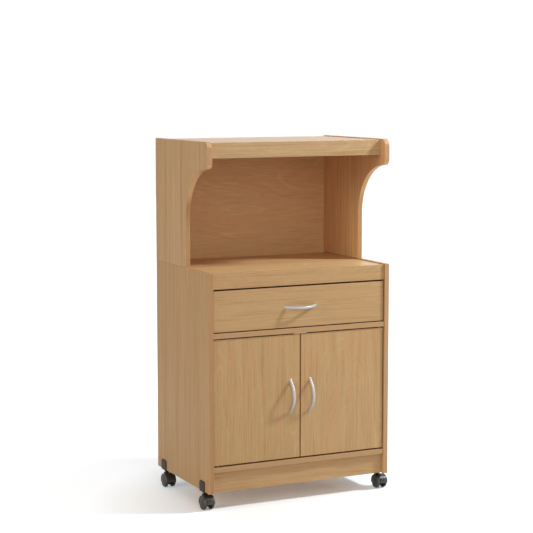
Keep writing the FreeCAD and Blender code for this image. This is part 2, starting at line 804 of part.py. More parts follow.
def caster_body_shape(braked):
    """Hood, web and hub about an axle at the origin, with the stem behind it."""
    axle_z = wheel_radius
    hood = ring_sector(hood_inner_radius, hood_outer_radius, hood_half_width,
                       hood_front_angle, hood_rear_angle)
    middle = (hood_inner_radius + hood_outer_radius) / 2.0
    web = rod(middle, (-hood_web_half, 0, 0), (hood_web_half, 0, 0))
    below = block((-hood_half_width, hood_half_width), (-2 * middle, 2 * middle),
                  (-2 * middle, hood_web_bottom - axle_z))
    web = web.cut(below)
    hub = rod(hood_hub_radius, (0, caster_trail, hood_web_bottom - axle_z),
              (0, caster_trail, hood_top - axle_z))
    collar = rod(hood_collar_radius, (0, caster_trail, hood_top - hood_collar_height - axle_z),
                 (0, caster_trail, hood_top - axle_z))
    body = joined([hood, web, hub, collar])
    socket_low = hood_top - stem_depth - stem_tip_gap - axle_z
    socket = rod(stem_radius + running_clearance, (0, caster_trail, socket_low),
                 (0, caster_trail, hood_top - axle_z))
    seat = rod(axle_radius, (-hood_web_half, 0, 0), (hood_web_half, 0, 0))
    tools = [socket, seat]
    if braked:
        reach = hood_outer_radius + overshoot
        slot_half = lever_half_width + lever_slot_gap
        slot = ring_sector(hood_inner_radius - lever_cheek_depth, reach, slot_half,
                           pocket_low_angle, lever_high_angle + lever_slot_margin)
        swing = ring_sector(hood_inner_radius - lever_swing_depth, reach, slot_half,
                            pocket_low_angle, 0.0)
        pocket = ring_sector(hood_inner_radius - lever_pocket_depth, reach,
                             lever_neck_half + lever_gap,
                             pocket_low_angle, lever_high_angle + lever_pocket_margin)
        pin = lever_pin(running_clearance, hood_web_half)
        tools += [slot, swing, pocket, pin]
    return cut_all(body, tools)


def lever_pin(extra, half_length):
    place = (-lever_pin_forward, lever_pin_above)
    return rod(lever_pin_radius + extra, (-half_length,) + place, (half_length,) + place)


def brake_lever_shape():
    """Lever with moulded trunnions, its plate in the slot of the hood."""
    plate = ring_sector(hood_inner_radius, hood_outer_radius + lever_proud, lever_half_width,
                        lever_low_angle, lever_high_angle)
    toe = ring_sector(hood_outer_radius, hood_outer_radius + lever_toe_proud, lever_half_width,
                      lever_toe_angle, lever_high_angle)
    boss = rod(lever_boss_radius, (-lever_neck_half, -lever_pin_forward, lever_pin_above),
               (lever_neck_half, -lever_pin_forward, lever_pin_above))
    neck = block((-lever_neck_half, lever_neck_half),
                 (-hood_inner_radius, -lever_pin_forward),
                 (lever_pin_above - lever_neck_height / 2.0,
                  lever_pin_above + lever_neck_height / 2.0))
    trunnions = lever_pin(0.0, hood_web_half - lever_gap)
    return joined([plate, toe, boss, neck, trunnions])


def bracket_shape(side, y):
    """U-shaped bracket round the lower edge of a side panel, with its riveted stem."""
    outer_x = width / 2.0 + bracket_thickness
    inside_x = inner_x - bracket_thickness
    high = base_bottom + bracket_leaf_height
    half = bracket_width / 2.0
    shell = block((inside_x, outer_x), (y - half, y + half), (bracket_low, high))

    def top_corner(box):
        return near(box.YMin, box.YMax) and near(box.ZMin, high) and near(box.ZMax, high)

    shell = round_where(shell, bracket_corner, top_corner)
    panel = block((inner_x, width / 2.0), (y - half, y + half), (base_bottom, high))
    neck_low = (panel_mid_x, y, bracket_low)
    neck = rod(stem_neck_radius, neck_low, (panel_mid_x, y, base_bottom))
    shell = shell.cut(panel).cut(neck)
    flange_low = (panel_mid_x, y, stem_flange_low)
    flange = rod(stem_flange_radius, flange_low, neck_low)
    shank = rod(stem_radius, (panel_mid_x, y, hood_top - stem_depth), flange_low)
    stem = joined([neck, flange, shank])
    shapes = [shell, stem]
    if side < 0:
        shapes = [mirrored(shape) for shape in shapes]
    shapes[0] = cut_all(shapes[0], screws)
    return shapes


def make_casters():
    wheel = wheel_shape()
    axle_half = wheel_inner_face + wheel_thickness - wheel_blind_wall - axle_end_gap
    axle = rod(axle_radius, (-axle_half, 0, 0), (axle_half, 0, 0))
    corners = {
        "front_left": (-1, stem_places[0]), "front_right": (1, stem_places[0]),
        "rear_left": (-1, stem_places[1]), "rear_right": (1, stem_places[1]),
    }
    for corner, (side, stem_y) in corners.items():
        braked = corner.startswith("front")
        axle_place = Vector(side * panel_mid_x, stem_y - caster_trail, wheel_radius)
        pieces = {"caster_body_": caster_body_shape(braked), "caster_axle_": axle.copy()}
        pieces["caster_wheel_a_"] = mirrored(wheel)
        pieces["caster_wheel_b_"] = wheel.copy()
        if braked:
            pieces["brake_lever_"] = brake_lever_shape()
        for name, shape in pieces.items():
            shape.translate(axle_place)
            parts[name + corner] = shape
        parts["caster_bracket_" + corner] = Part.makeCompound(bracket_shape(side, stem_y))


make_base()
make_adjustable_shelf()
make_hutch()
make_drawer()
make_doors()
make_catch()
make_casters()
parts["cabinet_screws"] = Part.makeCompound(screws + nails)
parts["board_connectors"] = Part.makeCompound(connectors)

os.makedirs("parts", exist_ok=True)
for name, shape in parts.items():
    if not shape.isValid():
        raise ValueError(name + " is not a valid shape")
    shape.exportStep("parts/" + name + ".step")
print(len(parts), "nodes written")
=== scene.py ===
"""Looks of a beech microwave stand: materials, handles, casters, light and camera.

Metres, in the frame of the construction: +X right, +Y back, +Z up, floor at Z = 0.
"""

import math

import bmesh
import bpy
from mathutils import Matrix, Vector


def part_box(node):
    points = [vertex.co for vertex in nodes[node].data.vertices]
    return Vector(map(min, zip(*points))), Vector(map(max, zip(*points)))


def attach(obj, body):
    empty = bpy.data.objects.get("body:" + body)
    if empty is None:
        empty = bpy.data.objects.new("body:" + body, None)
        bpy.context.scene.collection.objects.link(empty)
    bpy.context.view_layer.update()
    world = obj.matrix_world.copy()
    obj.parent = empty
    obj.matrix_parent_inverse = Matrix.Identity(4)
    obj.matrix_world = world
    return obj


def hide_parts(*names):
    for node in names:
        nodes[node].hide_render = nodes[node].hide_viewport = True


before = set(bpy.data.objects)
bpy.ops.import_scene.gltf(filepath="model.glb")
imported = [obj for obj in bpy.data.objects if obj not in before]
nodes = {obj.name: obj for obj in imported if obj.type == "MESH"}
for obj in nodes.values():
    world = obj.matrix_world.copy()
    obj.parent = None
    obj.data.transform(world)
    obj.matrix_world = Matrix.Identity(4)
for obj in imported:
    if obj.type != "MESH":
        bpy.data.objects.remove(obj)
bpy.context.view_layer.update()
scene = bpy.context.scene
MM = 0.001

# ------------------------------------------------------------------ places
CAMERA_PLACE = Vector((-2.1638, -4.3882, 1.2713))
CAMERA_LOOK = Vector((0.43531, 0.89283, -0.11566))
CAMERA_LENS = 106.80
SENSOR_WIDTH = 36.0

# Light: a small key lamp at the right, a wide box in front, and wide suns for the fill.
KEY_PLACE = Vector((2.25, -1.10, 2.38))
KEY_AIM = Vector((0.0, -0.1, 0.6))
KEY_SIZE = 0.40
KEY_WATTS = 84.0
KEY_COLOUR = (0.94, 1.0, 1.04)
BOX_PLACE = Vector((-0.6, -2.65, 1.3))
BOX_AIM = Vector((0.0, 0.0, 0.8))
BOX_SIZE = 1.6
BOX_WATTS = 17.5
BOX_COLOUR = (1.0, 0.95, 0.93)
FILL_DIRECTION = Vector((-1.0, -0.2, 0.4))
FILL_ANGLE = math.radians(40.0)
FILL_STRENGTH = 1.08
FILL_COLOUR = (1.0, 0.885, 0.70)
REAR_DIRECTION = Vector((0.25, 1.0, 0.45))
REAR_ANGLE = math.radians(70.0)
REAR_STRENGTH = 0.45
REAR_COLOUR = (1.0, 0.95, 0.88)
SKY_STRENGTH = 0.245
SKY_COLOUR = (1.0, 0.89, 0.79)
FLOOR_HALF = 12.0
FLOOR_LIT = (0.80, 0.79, 0.78, 1.0)
FLOOR_SEEN = (0.90, 0.96, 1.0, 1.0)
# Seen glow of the floor, as distances and strengths: painted light, warm and weak below the stand,
# where the warmth is painted bounce light off the wood, and white far from it.
GLOW_CENTRE = (-0.04, -0.15, 0.0)
GLOW_STEPS = ((0.20, 0.17), (0.59, 0.56), (0.75, 0.58), (1.60, 0.95))
GLOW_WARM_FADE = (0.20, 0.36)
GLOW_NEAR_COLOUR = (1.20, 0.96, 0.80, 1.0)
GLOW_FAR_COLOUR = (0.95, 1.00, 1.07, 1.0)

FRONT_CORNERS = ("front_left", "front_right")
CORNERS = FRONT_CORNERS + ("rear_left", "rear_right")


# ------------------------------------------------------------------ node trees
WHITE = (1.0, 1.0, 1.0)


def tinted(colour, factors):
    """Colour times a factor on each channel, with alpha."""
    return tuple(c * f for c, f in zip(colour, factors)) + (1.0,)


def seen_rays(tree):
    """Output that is 1 on the rays which see a surface, and 0 on those that light it."""
    path = tree.nodes.new("ShaderNodeLightPath")
    seen = path.outputs["Is Camera Ray"]
    for ray in ("Is Glossy Ray", "Is Transmission Ray"):
        either = tree.nodes.new("ShaderNodeMath")
        either.operation = "MAXIMUM"
        tree.links.new(seen, either.inputs[0])
        tree.links.new(path.outputs[ray], either.inputs[1])
        seen = either.outputs[0]
    return seen


class Shade:
    """Node tree of one material, with short calls for the nodes used here."""

    def __init__(self, name):
        self.material = bpy.data.materials.new(name)
        self.material.use_nodes = True
        self.tree = self.material.node_tree
        self.shader = self.tree.nodes["Principled BSDF"]
        self.place = self.add("ShaderNodeTexCoord")

    def add(self, kind, **settings):
        node = self.tree.nodes.new(kind)
        for key, value in settings.items():
            setattr(node, key, value)
        return node

    def put(self, socket, value):
        """Link an output to the socket, or set a plain value on it."""
        if isinstance(value, bpy.types.NodeSocket):
            self.tree.links.new(value, socket)
        else:
            socket.default_value = value

    def math(self, operation, a, b=0.0, clamp=False):
        node = self.add("ShaderNodeMath", operation=operation, use_clamp=clamp)
        self.put(node.inputs[0], a)
        self.put(node.inputs[1], b)
        return node.outputs[0]

    def times(self, a, b):
        return self.math("MULTIPLY", a, b)

    def unsigned(self, value):
        return self.math("ABSOLUTE", value)

    def mix(self, share, a, b, blend="MIX"):
        """Colour mix; share 0 gives a, and 1 gives b."""
        node = self.add("ShaderNodeMix", data_type="RGBA", blend_type=blend)
        self.put(node.inputs[0], share)
        self.put(node.inputs[6], a)
        self.put(node.inputs[7], b)
        return node.outputs[2]

    def tint(self, share, colour, factors):
        """Colour times the factors where the share is 1, and as it is where it is 0."""
        return self.mix(share, colour, tinted(WHITE, factors), "MULTIPLY")

    def stretched(self, stretch):
        """Object coordinates in features per metre along each axis."""
        node = self.add("ShaderNodeVectorMath", operation="MULTIPLY")
        self.put(node.inputs[0], self.place.outputs["Object"])
        self.put(node.inputs[1], stretch)
        return node.outputs[0]

    def noise(self, vector, seed, detail=2.0, roughness=0.5, distortion=0.0):
        node = self.add("ShaderNodeTexNoise", noise_dimensions="4D")
        self.put(node.inputs["Vector"], vector)
        self.put(node.inputs["W"], seed)
        self.put(node.inputs["Scale"], 1.0)
        self.put(node.inputs["Detail"], detail)
        self.put(node.inputs["Roughness"], roughness)
        self.put(node.inputs["Distortion"], distortion)
        return node.outputs[0]

    def ramp(self, value, start, end, smooth=True):
        """0 up to start and 1 from end; start may be the higher one."""
        node = self.add("ShaderNodeMapRange")
        node.interpolation_type = "SMOOTHSTEP" if smooth else "LINEAR"
        self.put(node.inputs["Value"], value)
        self.put(node.inputs["From Min"], start)
        self.put(node.inputs["From Max"], end)
        return node.outputs[0]

    def component(self, output, axis):
        split = self.add("ShaderNodeSeparateXYZ")
        self.put(split.inputs[0], self.place.outputs[output])
        return split.outputs["XYZ".index(axis)]

    def facing(self, axis):
        """Component of the normal along an object axis, -1 to 1."""
        return self.component("Normal", axis)

    def along(self, axis):
        """Coordinate along an object axis, in metres."""
        return self.component("Object", axis)

    def bump(self, height, distance, strength=1.0):
        node = self.add("ShaderNodeBump")
        self.put(node.inputs["Height"], height)
        self.put(node.inputs["Distance"], distance)
        self.put(node.inputs["Strength"], strength)
        self.put(self.shader.inputs["Normal"], node.outputs[0])

    def surface(self, **values):
        for name, value in values.items():
            self.put(self.shader.inputs[name.replace("_", " ")], value)


# ------------------------------------------------------------------ beech laminate
BEECH = (0.484, 0.306, 0.155)
FOIL = (0.66, 0.52, 0.36)
CHIPBOARD = (0.42, 0.29, 0.17)
HARDBOARD_DARK = (0.150, 0.078, 0.036, 1.0)
HARDBOARD_PALE = (0.235, 0.130, 0.066, 1.0)
HARDBOARD_CLOUD = (0.30, 0.18, 0.10, 1.0)
# Factors on the colour of the laminate, for its print, its pores, and its arrises, pale for wear
# and as a painted highlight.
OCHRE = (0.985, 1.015, 0.995)
PINK = (1.050, 0.880, 0.880)
PALE_LINE = (1.10, 1.12, 1.15)
DARK_LINE = (0.88, 0.81, 0.74)
PALE_RING = (1.25, 1.28, 1.28)
PORE = (0.55, 0.44, 0.36)
ARRIS_WEAR_AND_HIGHLIGHT = (1.25, 1.25, 1.30)
DARK_CHIP = (0.62, 0.58, 0.54)
PALE_CHIP = (1.25, 1.25, 1.25)
# Print of the laminate in features per metre: across the grain, and along it.
TONE_ACROSS = 11.0
TONE_ALONG = 0.8
STREAK_ALONG = 4.5
COARSE_ALONG = 1.6
FINE_ALONG = 4.0
FLOW_ACROSS = 4.2
FLOW_ALONG = 0.9
RINGS_IN_FLOW = 330.0       # angle in radians over the whole range of the slow noise
BREAK_ACROSS = 22.0
BREAK_ALONG = 6.0
PORE_ACROSS = 1300.0
PORE_ALONG = 130.0
STREAK_PITCH = 0.6          # shares of the pitch of the coarse lines
FINE_PITCH = 2.5
CHIP_PITCH = 420.0
FIBRE_PITCH = 260.0
CLOUD_PITCH = 9.0
# Factors on edge bands: most of them, the base's two sides, the hutch's sides low down and at
# the nose, top edges, and the edges beside the gaps round the doors and the drawer.
BAND = (0.92, 0.90, 0.91)
SIDE_BAND = (0.856, 0.823, 0.853)
# The right side's band is paler and bluer: painted light.
PAINTED_LIGHT_RIGHT_BAND = (0.96, 1.00, 1.19)
# The hutch's band low down is warmer, as painted bounce light, and at the nose paler and bluer, as
# painted light.
PAINTED_BOUNCE_LOW_BAND = (0.88, 0.80, 0.78)
PAINTED_LIGHT_NOSE_BAND = (0.90, 0.905, 1.04)
# Top edges are paler: painted light.
PAINTED_LIGHT_TOP_BAND = (1.22, 1.13, 1.06)
# Edges beside the gaps are darker and redder: painted shade.
PAINTED_SHADE_GAP_BAND = (0.96, 0.80, 0.72)
NOSE_FADE = (0.98, 1.03)
# Painted bounce light on the inner faces of the hutch's sides: its factors, and where it turns pale
# along Y and Z.
INNER_PAINTED_LIGHT_DEEP = (1.25, 1.145, 1.27)
INNER_PAINTED_LIGHT_PALE = (1.42, 1.49, 1.68)
INNER_FADE_Y = (0.17, -0.03)
INNER_FADE_Z = (1.00, 0.88)
# Painted light and shade on the laminate: axis, where it is deep, where it is pale, and both
# factors.
# The worktop is deeper at the rear: painted shadow of the hutch.
WORKTOP_PAINTED_SHADOW = ("Y", 0.13, -0.11, (1.23, 1.18, 1.17), (1.37, 1.455, 1.44))
# The hutch's back is deeper at the top: painted shade under the fascia.
BACK_PAINTED_SHADE = ("Z", 1.06, 0.74, (1.02, 0.885, 0.86), (1.28, 1.28, 1.30))
# The base's sides are paler and bluer low down: painted light.
SIDE_PAINTED_LIGHT = ("Z", 0.46, 0.12, (0.99, 0.975, 0.92), (1.04, 1.07, 1.16))
# Joint between the base and the post of the hutch, in metres.
SEAM_HEIGHT = 0.715
SEAM_HALF = 0.0012
SEAM_CORE_HALF = 0.0006
SEAM_SHARE = 0.55
SEAM_START = 0.001
POST_FRONT = -0.01875


def grain_stretch(grain, across, along):
    """Features per metre on each axis: along the grain axis, and across it."""
    return tuple(along if axis == grain else across for axis in "XYZ")


def straight_grain(shade, grain, seed, base, streaks, run, pitch, contrast):
    """Colour of quarter-sawn print: ochre with rosy streaks, and fine pale and dark lines.

    run shortens the lines, pitch is the number of coarse lines per metre, and contrast
    strengthens them. Each layer of noise has its own distance from the seed.
    """
    def layer(across, along, offset, *detail):
        return shade.noise(shade.stretched(grain_stretch(grain, across, along * run)),
                           seed + offset, *detail)

    tone = layer(TONE_ACROSS, TONE_ALONG, 0.0, 2.0)
    streak = layer(STREAK_PITCH * pitch, STREAK_ALONG, 3.1, 2.0, 0.5, 0.2)
    coarse = layer(pitch, COARSE_ALONG, 5.3, 2.0, 0.6)
    fine = layer(FINE_PITCH * pitch, FINE_ALONG, 7.7, 2.0, 0.6)
    rosy = shade.times(shade.ramp(streak, 0.52, 0.68), streaks)
    rosy = shade.math("ADD", rosy, shade.times(shade.ramp(tone, 0.40, 0.66), 0.55 * streaks),
                      clamp=True)
    colour = shade.mix(rosy, tinted(base, OCHRE), tinted(base, PINK))
    for value, start, end, share, factors in ((coarse, 0.48, 0.32, 0.60 * contrast, DARK_LINE),
                                              (coarse, 0.54, 0.70, 0.60 * contrast, PALE_LINE),
                                              (fine, 0.46, 0.28, contrast, DARK_LINE),
                                              (fine, 0.56, 0.74, contrast, PALE_LINE)):
        amount = shade.times(shade.ramp(value, start, end), share)
        colour = shade.tint(amount, colour, factors)
    return colour, fine


def cathedral(shade, grain, seed, colour, figure):
    """Thin wavy lines of flat-sawn print, pale and dark, along the contours of a slow noise."""
    flow = shade.noise(shade.stretched(grain_stretch(grain, FLOW_ACROSS, FLOW_ALONG)),
                       seed + 17.9, 2.0, 0.40, 0.3)
    rings = shade.math("SINE", shade.times(flow, RINGS_IN_FLOW))
    broken = shade.noise(shade.stretched(grain_stretch(grain, BREAK_ACROSS, BREAK_ALONG)),
                         seed + 19.0, 2.0)
    amount = shade.times(shade.ramp(rings, 0.45, 1.0), shade.ramp(broken, 0.44, 0.64))
    colour = shade.tint(shade.times(amount, figure), colour, PALE_RING)
    amount = shade.times(shade.ramp(rings, -0.5, -1.0), shade.ramp(broken, 0.56, 0.36))
    return shade.tint(shade.times(amount, figure), colour, DARK_LINE)


def banded_edges(shade, face, base, fine, colour, band, top, hutch):
    """Edge band where the surface turns from the face, and a pale line along each arris, for wear
    and as a painted highlight.

    The band of the hutch's sides is paler at the nose than low down, as painted light. Other boards
    have one factor on top edges, and one on the rest.
    """
    flat = shade.unsigned(shade.facing(face))
    if hutch:
        place, painted_light_fade, both = shade.along("Z"), NOSE_FADE, (PAINTED_BOUNCE_LOW_BAND, PAINTED_LIGHT_NOSE_BAND)
    else:
        place, painted_light_fade, both = shade.facing("Z"), (0.90, 0.97), (band, top)
    edge = shade.mix(shade.ramp(place, *painted_light_fade), *(tinted(base, factors) for factors in both))
    edge = shade.tint(shade.times(shade.ramp(fine, 0.40, 0.72), 0.40), edge, DARK_LINE)
    colour = shade.mix(shade.ramp(flat, 0.55, 0.30), colour, edge)
    facings = [shade.unsigned(shade.facing(axis)) for axis in "XYZ"]
    squarest = shade.math("MAXIMUM", shade.math("MAXIMUM", facings[0], facings[1]), facings[2])
    wear_and_highlight = shade.ramp(squarest, 0.985, 0.86)
    return shade.mix(wear_and_highlight, colour, tinted(base, ARRIS_WEAR_AND_HIGHLIGHT))


def bare_core(shade, directions, seed, colour, height, roughness):
    """Chipboard core on the faces that point in the directions, such as "+Y"."""
    for direction in directions:
        sign = 1.0 if direction[0] == "+" else -1.0
        bare = shade.ramp(shade.times(shade.facing(direction[1]), sign), 0.93, 0.97)
        chips = shade.noise(shade.stretched((CHIP_PITCH,) * 3), seed + 23.0, 3.0, 0.7)
        core = shade.mix(shade.ramp(chips, 0.35, 0.65), tinted(CHIPBOARD, DARK_CHIP),
                         tinted(CHIPBOARD, PALE_CHIP))
        colour = shade.mix(bare, colour, core)
        height = shade.math("ADD", height, shade.times(bare, shade.times(chips, 4.0)))
        roughness = shade.math("ADD", roughness, shade.times(bare, 0.4))
    return colour, height, roughness


def painted_light_and_shade(shade, amount, colour, pale_share, deep, pale):
    """Painted light and shade on the laminate: the deep factors, and the pale ones at a share of 1.
    """
    factors = shade.mix(pale_share, tinted(WHITE, deep), tinted(WHITE, pale))
    return shade.mix(amount, colour, factors, "MULTIPLY")


def seam(shade, colour):
    """Fine dark line on the outside, where the post of the hutch stands on the base."""
    offset = shade.unsigned(shade.math("SUBTRACT", shade.along("Z"), SEAM_HEIGHT))
    line = shade.times(shade.ramp(offset, SEAM_HALF, SEAM_CORE_HALF), SEAM_SHARE)
    line = shade.times(line, shade.ramp(shade.unsigned(shade.facing("X")), 0.90, 0.95))
    line = shade.times(line, shade.ramp(shade.along("Y"), POST_FRONT - SEAM_START, POST_FRONT))
    return shade.tint(line, colour, PORE)


def hardboard_side(shade, seed, colour):
    """Brown pressed hardboard on the faces that point to the back."""
    outside = shade.ramp(shade.facing("Y"), 0.3, 0.6)
    fibre = shade.noise(shade.stretched((FIBRE_PITCH,) * 3), seed + 5.0, 4.0, 0.7, 0.4)
    cloud = shade.noise(shade.stretched((CLOUD_PITCH,) * 3), seed + 6.0, 3.0)
    board = shade.mix(shade.ramp(fibre, 0.3, 0.7), HARDBOARD_DARK, HARDBOARD_PALE)
    board = shade.mix(shade.times(cloud, 0.35), board, HARDBOARD_CLOUD)
    return shade.mix(outside, colour, board)


def beech(name, grain, face, seed, tint=WHITE, base=BEECH, streaks=0.5, figure=0.0, run=1.0,
          pitch=190.0, contrast=1.0, band=BAND, top=PAINTED_LIGHT_TOP_BAND, gloss=0.14, raw=(), inside=0.0,
          hardboard=False, painted_light_fade=None):
    """Beech laminate with banded edges.

    grain and face are axes. streaks and figure are shares, and run, pitch and contrast shape the
    printed lines. band and top are factors on the edge bands and on top edges. raw lists the
    directions in which the chipboard core is bare. inside is the sign of the X direction in which a
    side of the hutch shows its inner faces, brighter with painted bounce light. fade says how light
    and shade are painted on the laminate. With hardboard, the rear face is pressed hardboard.
    """
    shade = Shade(name)
    base = tuple(b * t for b, t in zip(base, tint))
    colour, fine = straight_grain(shade, grain, seed, base, streaks, run, pitch, contrast)
    if figure:
        colour = cathedral(shade, grain, seed, colour, figure)
    # Painted bounce light on the inner faces of the hutch's sides.
    if inside:
        inner = shade.ramp(shade.times(shade.facing("X"), inside), 0.90, 0.95)
        share = shade.times(shade.ramp(shade.along("Y"), *INNER_FADE_Y),
                            shade.ramp(shade.along("Z"), *INNER_FADE_Z))
        colour = painted_light_and_shade(shade, inner, colour, share, INNER_PAINTED_LIGHT_DEEP, INNER_PAINTED_LIGHT_PALE)
    if painted_light_fade:
        axis, start, end, deep, pale = painted_light_fade
        share = shade.ramp(shade.along(axis), start, end)
        colour = painted_light_and_shade(shade, 1.0, colour, share, deep, pale)
    fleck = shade.noise(shade.stretched(grain_stretch(grain, PORE_ACROSS, PORE_ALONG)),
                        seed + 11.3, 1.0)
    pores = shade.ramp(fleck, 0.62, 0.72)
    colour = shade.tint(shade.times(pores, 0.40), colour, PORE)
    colour = banded_edges(shade, face, base, fine, colour, band, top, hutch=bool(inside))
    if grain == "Z":
        colour = seam(shade, colour)
    height = shade.math("SUBTRACT", shade.times(fine, 0.6), pores)
    roughness = shade.math("ADD", shade.times(fine, 0.12), 0.36)
    colour, height, roughness = bare_core(shade, raw, seed, colour, height, roughness)
    if hardboard:
        colour = hardboard_side(shade, seed, colour)
    shade.surface(Base_Color=colour, Roughness=roughness, Specular_IOR_Level=gloss)
    shade.bump(height, 0.00012, 0.35)
    return shade.material


# ------------------------------------------------------------------ other materials
SPECKLE_CLOUD_PITCH = 22.0


def speckled(name, colour, dark_share, size, roughness, spread, metallic=0.0, depth=0.00003,
             gloss=0.5, seed=1.0):
    """Moulded, painted or plated surface: fine cloudy variation with its own bump.

    size is the number of features per metre.
    """
    shade = Shade(name)
    fine = shade.noise(shade.stretched((size, size, size)), seed, 3.0, 0.6)
    cloud = shade.noise(shade.stretched((SPECKLE_CLOUD_PITCH,) * 3), seed + 4.0, 2.0)
    both = shade.math("ADD", shade.times(fine, 0.6), shade.times(cloud, 0.4))
    mixed = shade.mix(shade.ramp(both, 0.3, 0.7), tinted(colour, (1.0 - dark_share,) * 3),
                      tinted(colour, (1.0 + dark_share,) * 3))
    rough = shade.math("ADD", shade.times(both, spread), roughness - spread / 2.0)
    shade.surface(Base_Color=mixed, Roughness=rough, Metallic=metallic, Specular_IOR_Level=gloss)
    shade.bump(fine, depth, 0.5)
    return shade.material


def make_materials():
    """Materials of the boards, by the names of their nodes."""
    sides = {"grain": "Z", "face": "X", "pitch": 95.0, "streaks": 0.18, "contrast": 1.75,
             "band": SIDE_BAND}
    # The base's sides are darker and warmer than the hutch's: partly the tone of separate boards,
    # partly painted light and shade.
    base_sides = dict(sides, tint=(0.99, 0.94, 0.855), raw=("+Y", "-Z"), painted_light_fade=SIDE_PAINTED_LIGHT)
    hutch_sides = dict(sides, tint=(1.075, 1.045, 0.985), raw=("+Y",))
    doors = {"grain": "Z", "face": "Y", "figure": 0.3, "run": 2.2, "contrast": 1.1,
             "band": PAINTED_SHADE_GAP_BAND, "top": PAINTED_SHADE_GAP_BAND}
    rails = {"grain": "X", "face": "Y", "run": 2.2}
    backs = {"grain": "X", "face": "Y", "figure": 0.4, "run": 5.0, "contrast": 0.8,
             "hardboard": True}
    shelves = {"grain": "X", "face": "Z"}
    made = {
        "base_side_left": beech("beech_base_left", seed=1.0, **base_sides),
        "base_side_right": beech("beech_base_right", seed=2.0,
                                 **dict(base_sides, band=PAINTED_LIGHT_RIGHT_BAND)),
        "hutch_side_left": beech("beech_hutch_left", seed=3.0, inside=1.0, **hutch_sides),
        "hutch_side_right": beech("beech_hutch_right", seed=4.0, inside=-1.0, **hutch_sides),
        "worktop": beech("beech_worktop", seed=5.0, figure=0.5, gloss=0.3, painted_light_fade=WORKTOP_PAINTED_SHADOW,
                         **shelves),
        "hutch_top": beech("beech_hutch_top", seed=6.0, gloss=0.5, **shelves),
        "divider_shelf": beech("beech_divider", seed=7.0, **shelves),
        "bottom_panel": beech("beech_bottom", seed=8.0, **shelves),
        "adjustable_shelf": beech("beech_shelf", seed=9.0, **shelves),
        "apron": beech("beech_apron", seed=10.0, tint=(0.96, 0.96, 0.95), streaks=0.35,
                       figure=0.25, **rails),
        # The fascia is paler and bluer all over: painted sheen of the key light.
        "fascia": beech("beech_fascia", "X", "Y", seed=11.0, tint=(0.99, 1.03, 1.10), streaks=0.2,
                        figure=0.3, run=3.0, contrast=1.5),
        "kick_plate": beech("beech_kick", seed=12.0, figure=0.35, raw=("-Z",), **rails),
        "drawer_front": beech("beech_drawer_front", seed=13.0, tint=(0.98, 0.98, 0.975),
                              streaks=0.35, figure=0.2, band=PAINTED_SHADE_GAP_BAND, top=PAINTED_SHADE_GAP_BAND, **rails),
        # The left door is a little darker than the right: painted shade.
        "door_left": beech("beech_door_left", seed=14.0, tint=(0.96, 0.965, 0.94), **doors),
        "door_right": beech("beech_door_right", seed=15.5, **doors),
        "hutch_back": beech("hutch_back_board", seed=16.0, painted_light_fade=BACK_PAINTED_SHADE, **backs),
        "base_back": beech("base_back_board", seed=17.0, tint=(1.22, 1.15, 1.10), **backs),
    }
    for name, grain, face, seed in (("drawer_side_left", "Y", "X", 18.0),
                                    ("drawer_side_right", "Y", "X", 19.0),
                                    ("drawer_back", "X", "Y", 20.0),
                                    ("drawer_bottom", "X", "Z", 21.0)):
        made[name] = beech("foil_" + name, grain, face, seed, base=FOIL)
    return made


satin = speckled("satin_silver", (0.45, 0.44, 0.435), dark_share=0.03, size=900.0,
                 roughness=0.46, spread=0.06, metallic=0.35, depth=0.00001, seed=31.0)
zinc = speckled("zinc_plate", (0.56, 0.56, 0.58), dark_share=0.14, size=500.0,
                roughness=0.34, spread=0.14, metallic=1.0, depth=0.00002, seed=32.0)
dark_plastic = speckled("dark_plastic", (0.037, 0.0365, 0.032), dark_share=0.10, size=1500.0,
                        roughness=0.42, spread=0.10, depth=0.00004, gloss=0.35, seed=33.0)
hood_plastic = speckled("hood_plastic", (0.040, 0.037, 0.033), dark_share=0.10, size=1500.0,
                        roughness=0.33, spread=0.08, seed=40.0)
# Painted shade: a near-black copy of the caster plastic for the web, the wheels' inner sides and
# the lever's top end.
painted_shade_plastic = speckled("painted_shade_plastic", (0.010, 0.009, 0.008), dark_share=0.10, size=1500.0,
                          roughness=0.60, spread=0.10, gloss=0.2, seed=41.0)
tread_plastic = speckled("tread_plastic", (0.030, 0.030, 0.029), dark_share=0.12, size=1200.0,
                         roughness=0.58, spread=0.10, depth=0.00005, seed=34.0)
lever_plastic = speckled("lever_plastic", (0.066, 0.064, 0.058), dark_share=0.08, size=1500.0,
                         roughness=0.50, spread=0.08, gloss=0.3, seed=39.0)
dark_paint = speckled("dark_paint", (0.022, 0.020, 0.017), dark_share=0.10, size=700.0,
                      roughness=0.45, spread=0.12, depth=0.00005, gloss=0.3, seed=35.0)
bracket_paint = speckled("bracket_paint", (0.0243, 0.0247, 0.0197), dark_share=0.10, size=700.0,
                         roughness=0.50, spread=0.12, depth=0.00004, gloss=0.2, seed=42.0)
# Painted shade for the bracket: a darker copy of its paint, standing in for the contact shadow
# along its edges.
painted_shade_rim = speckled("bracket_painted_shade_rim", (0.014, 0.010, 0.007), dark_share=0.10, size=700.0,
                    roughness=0.55, spread=0.12, depth=0.00004, gloss=0.2, seed=43.0)
pale_plastic = speckled("pale_plastic", (0.82, 0.81, 0.78), dark_share=0.04, size=900.0,
                        roughness=0.42, spread=0.08, seed=36.0)
brown_plastic = speckled("brown_plastic", (0.070, 0.034, 0.016), dark_share=0.08, size=900.0,
                         roughness=0.45, spread=0.08, seed=37.0)
dowel_wood = beech("dowel_wood", "X", "Z", 38.0)


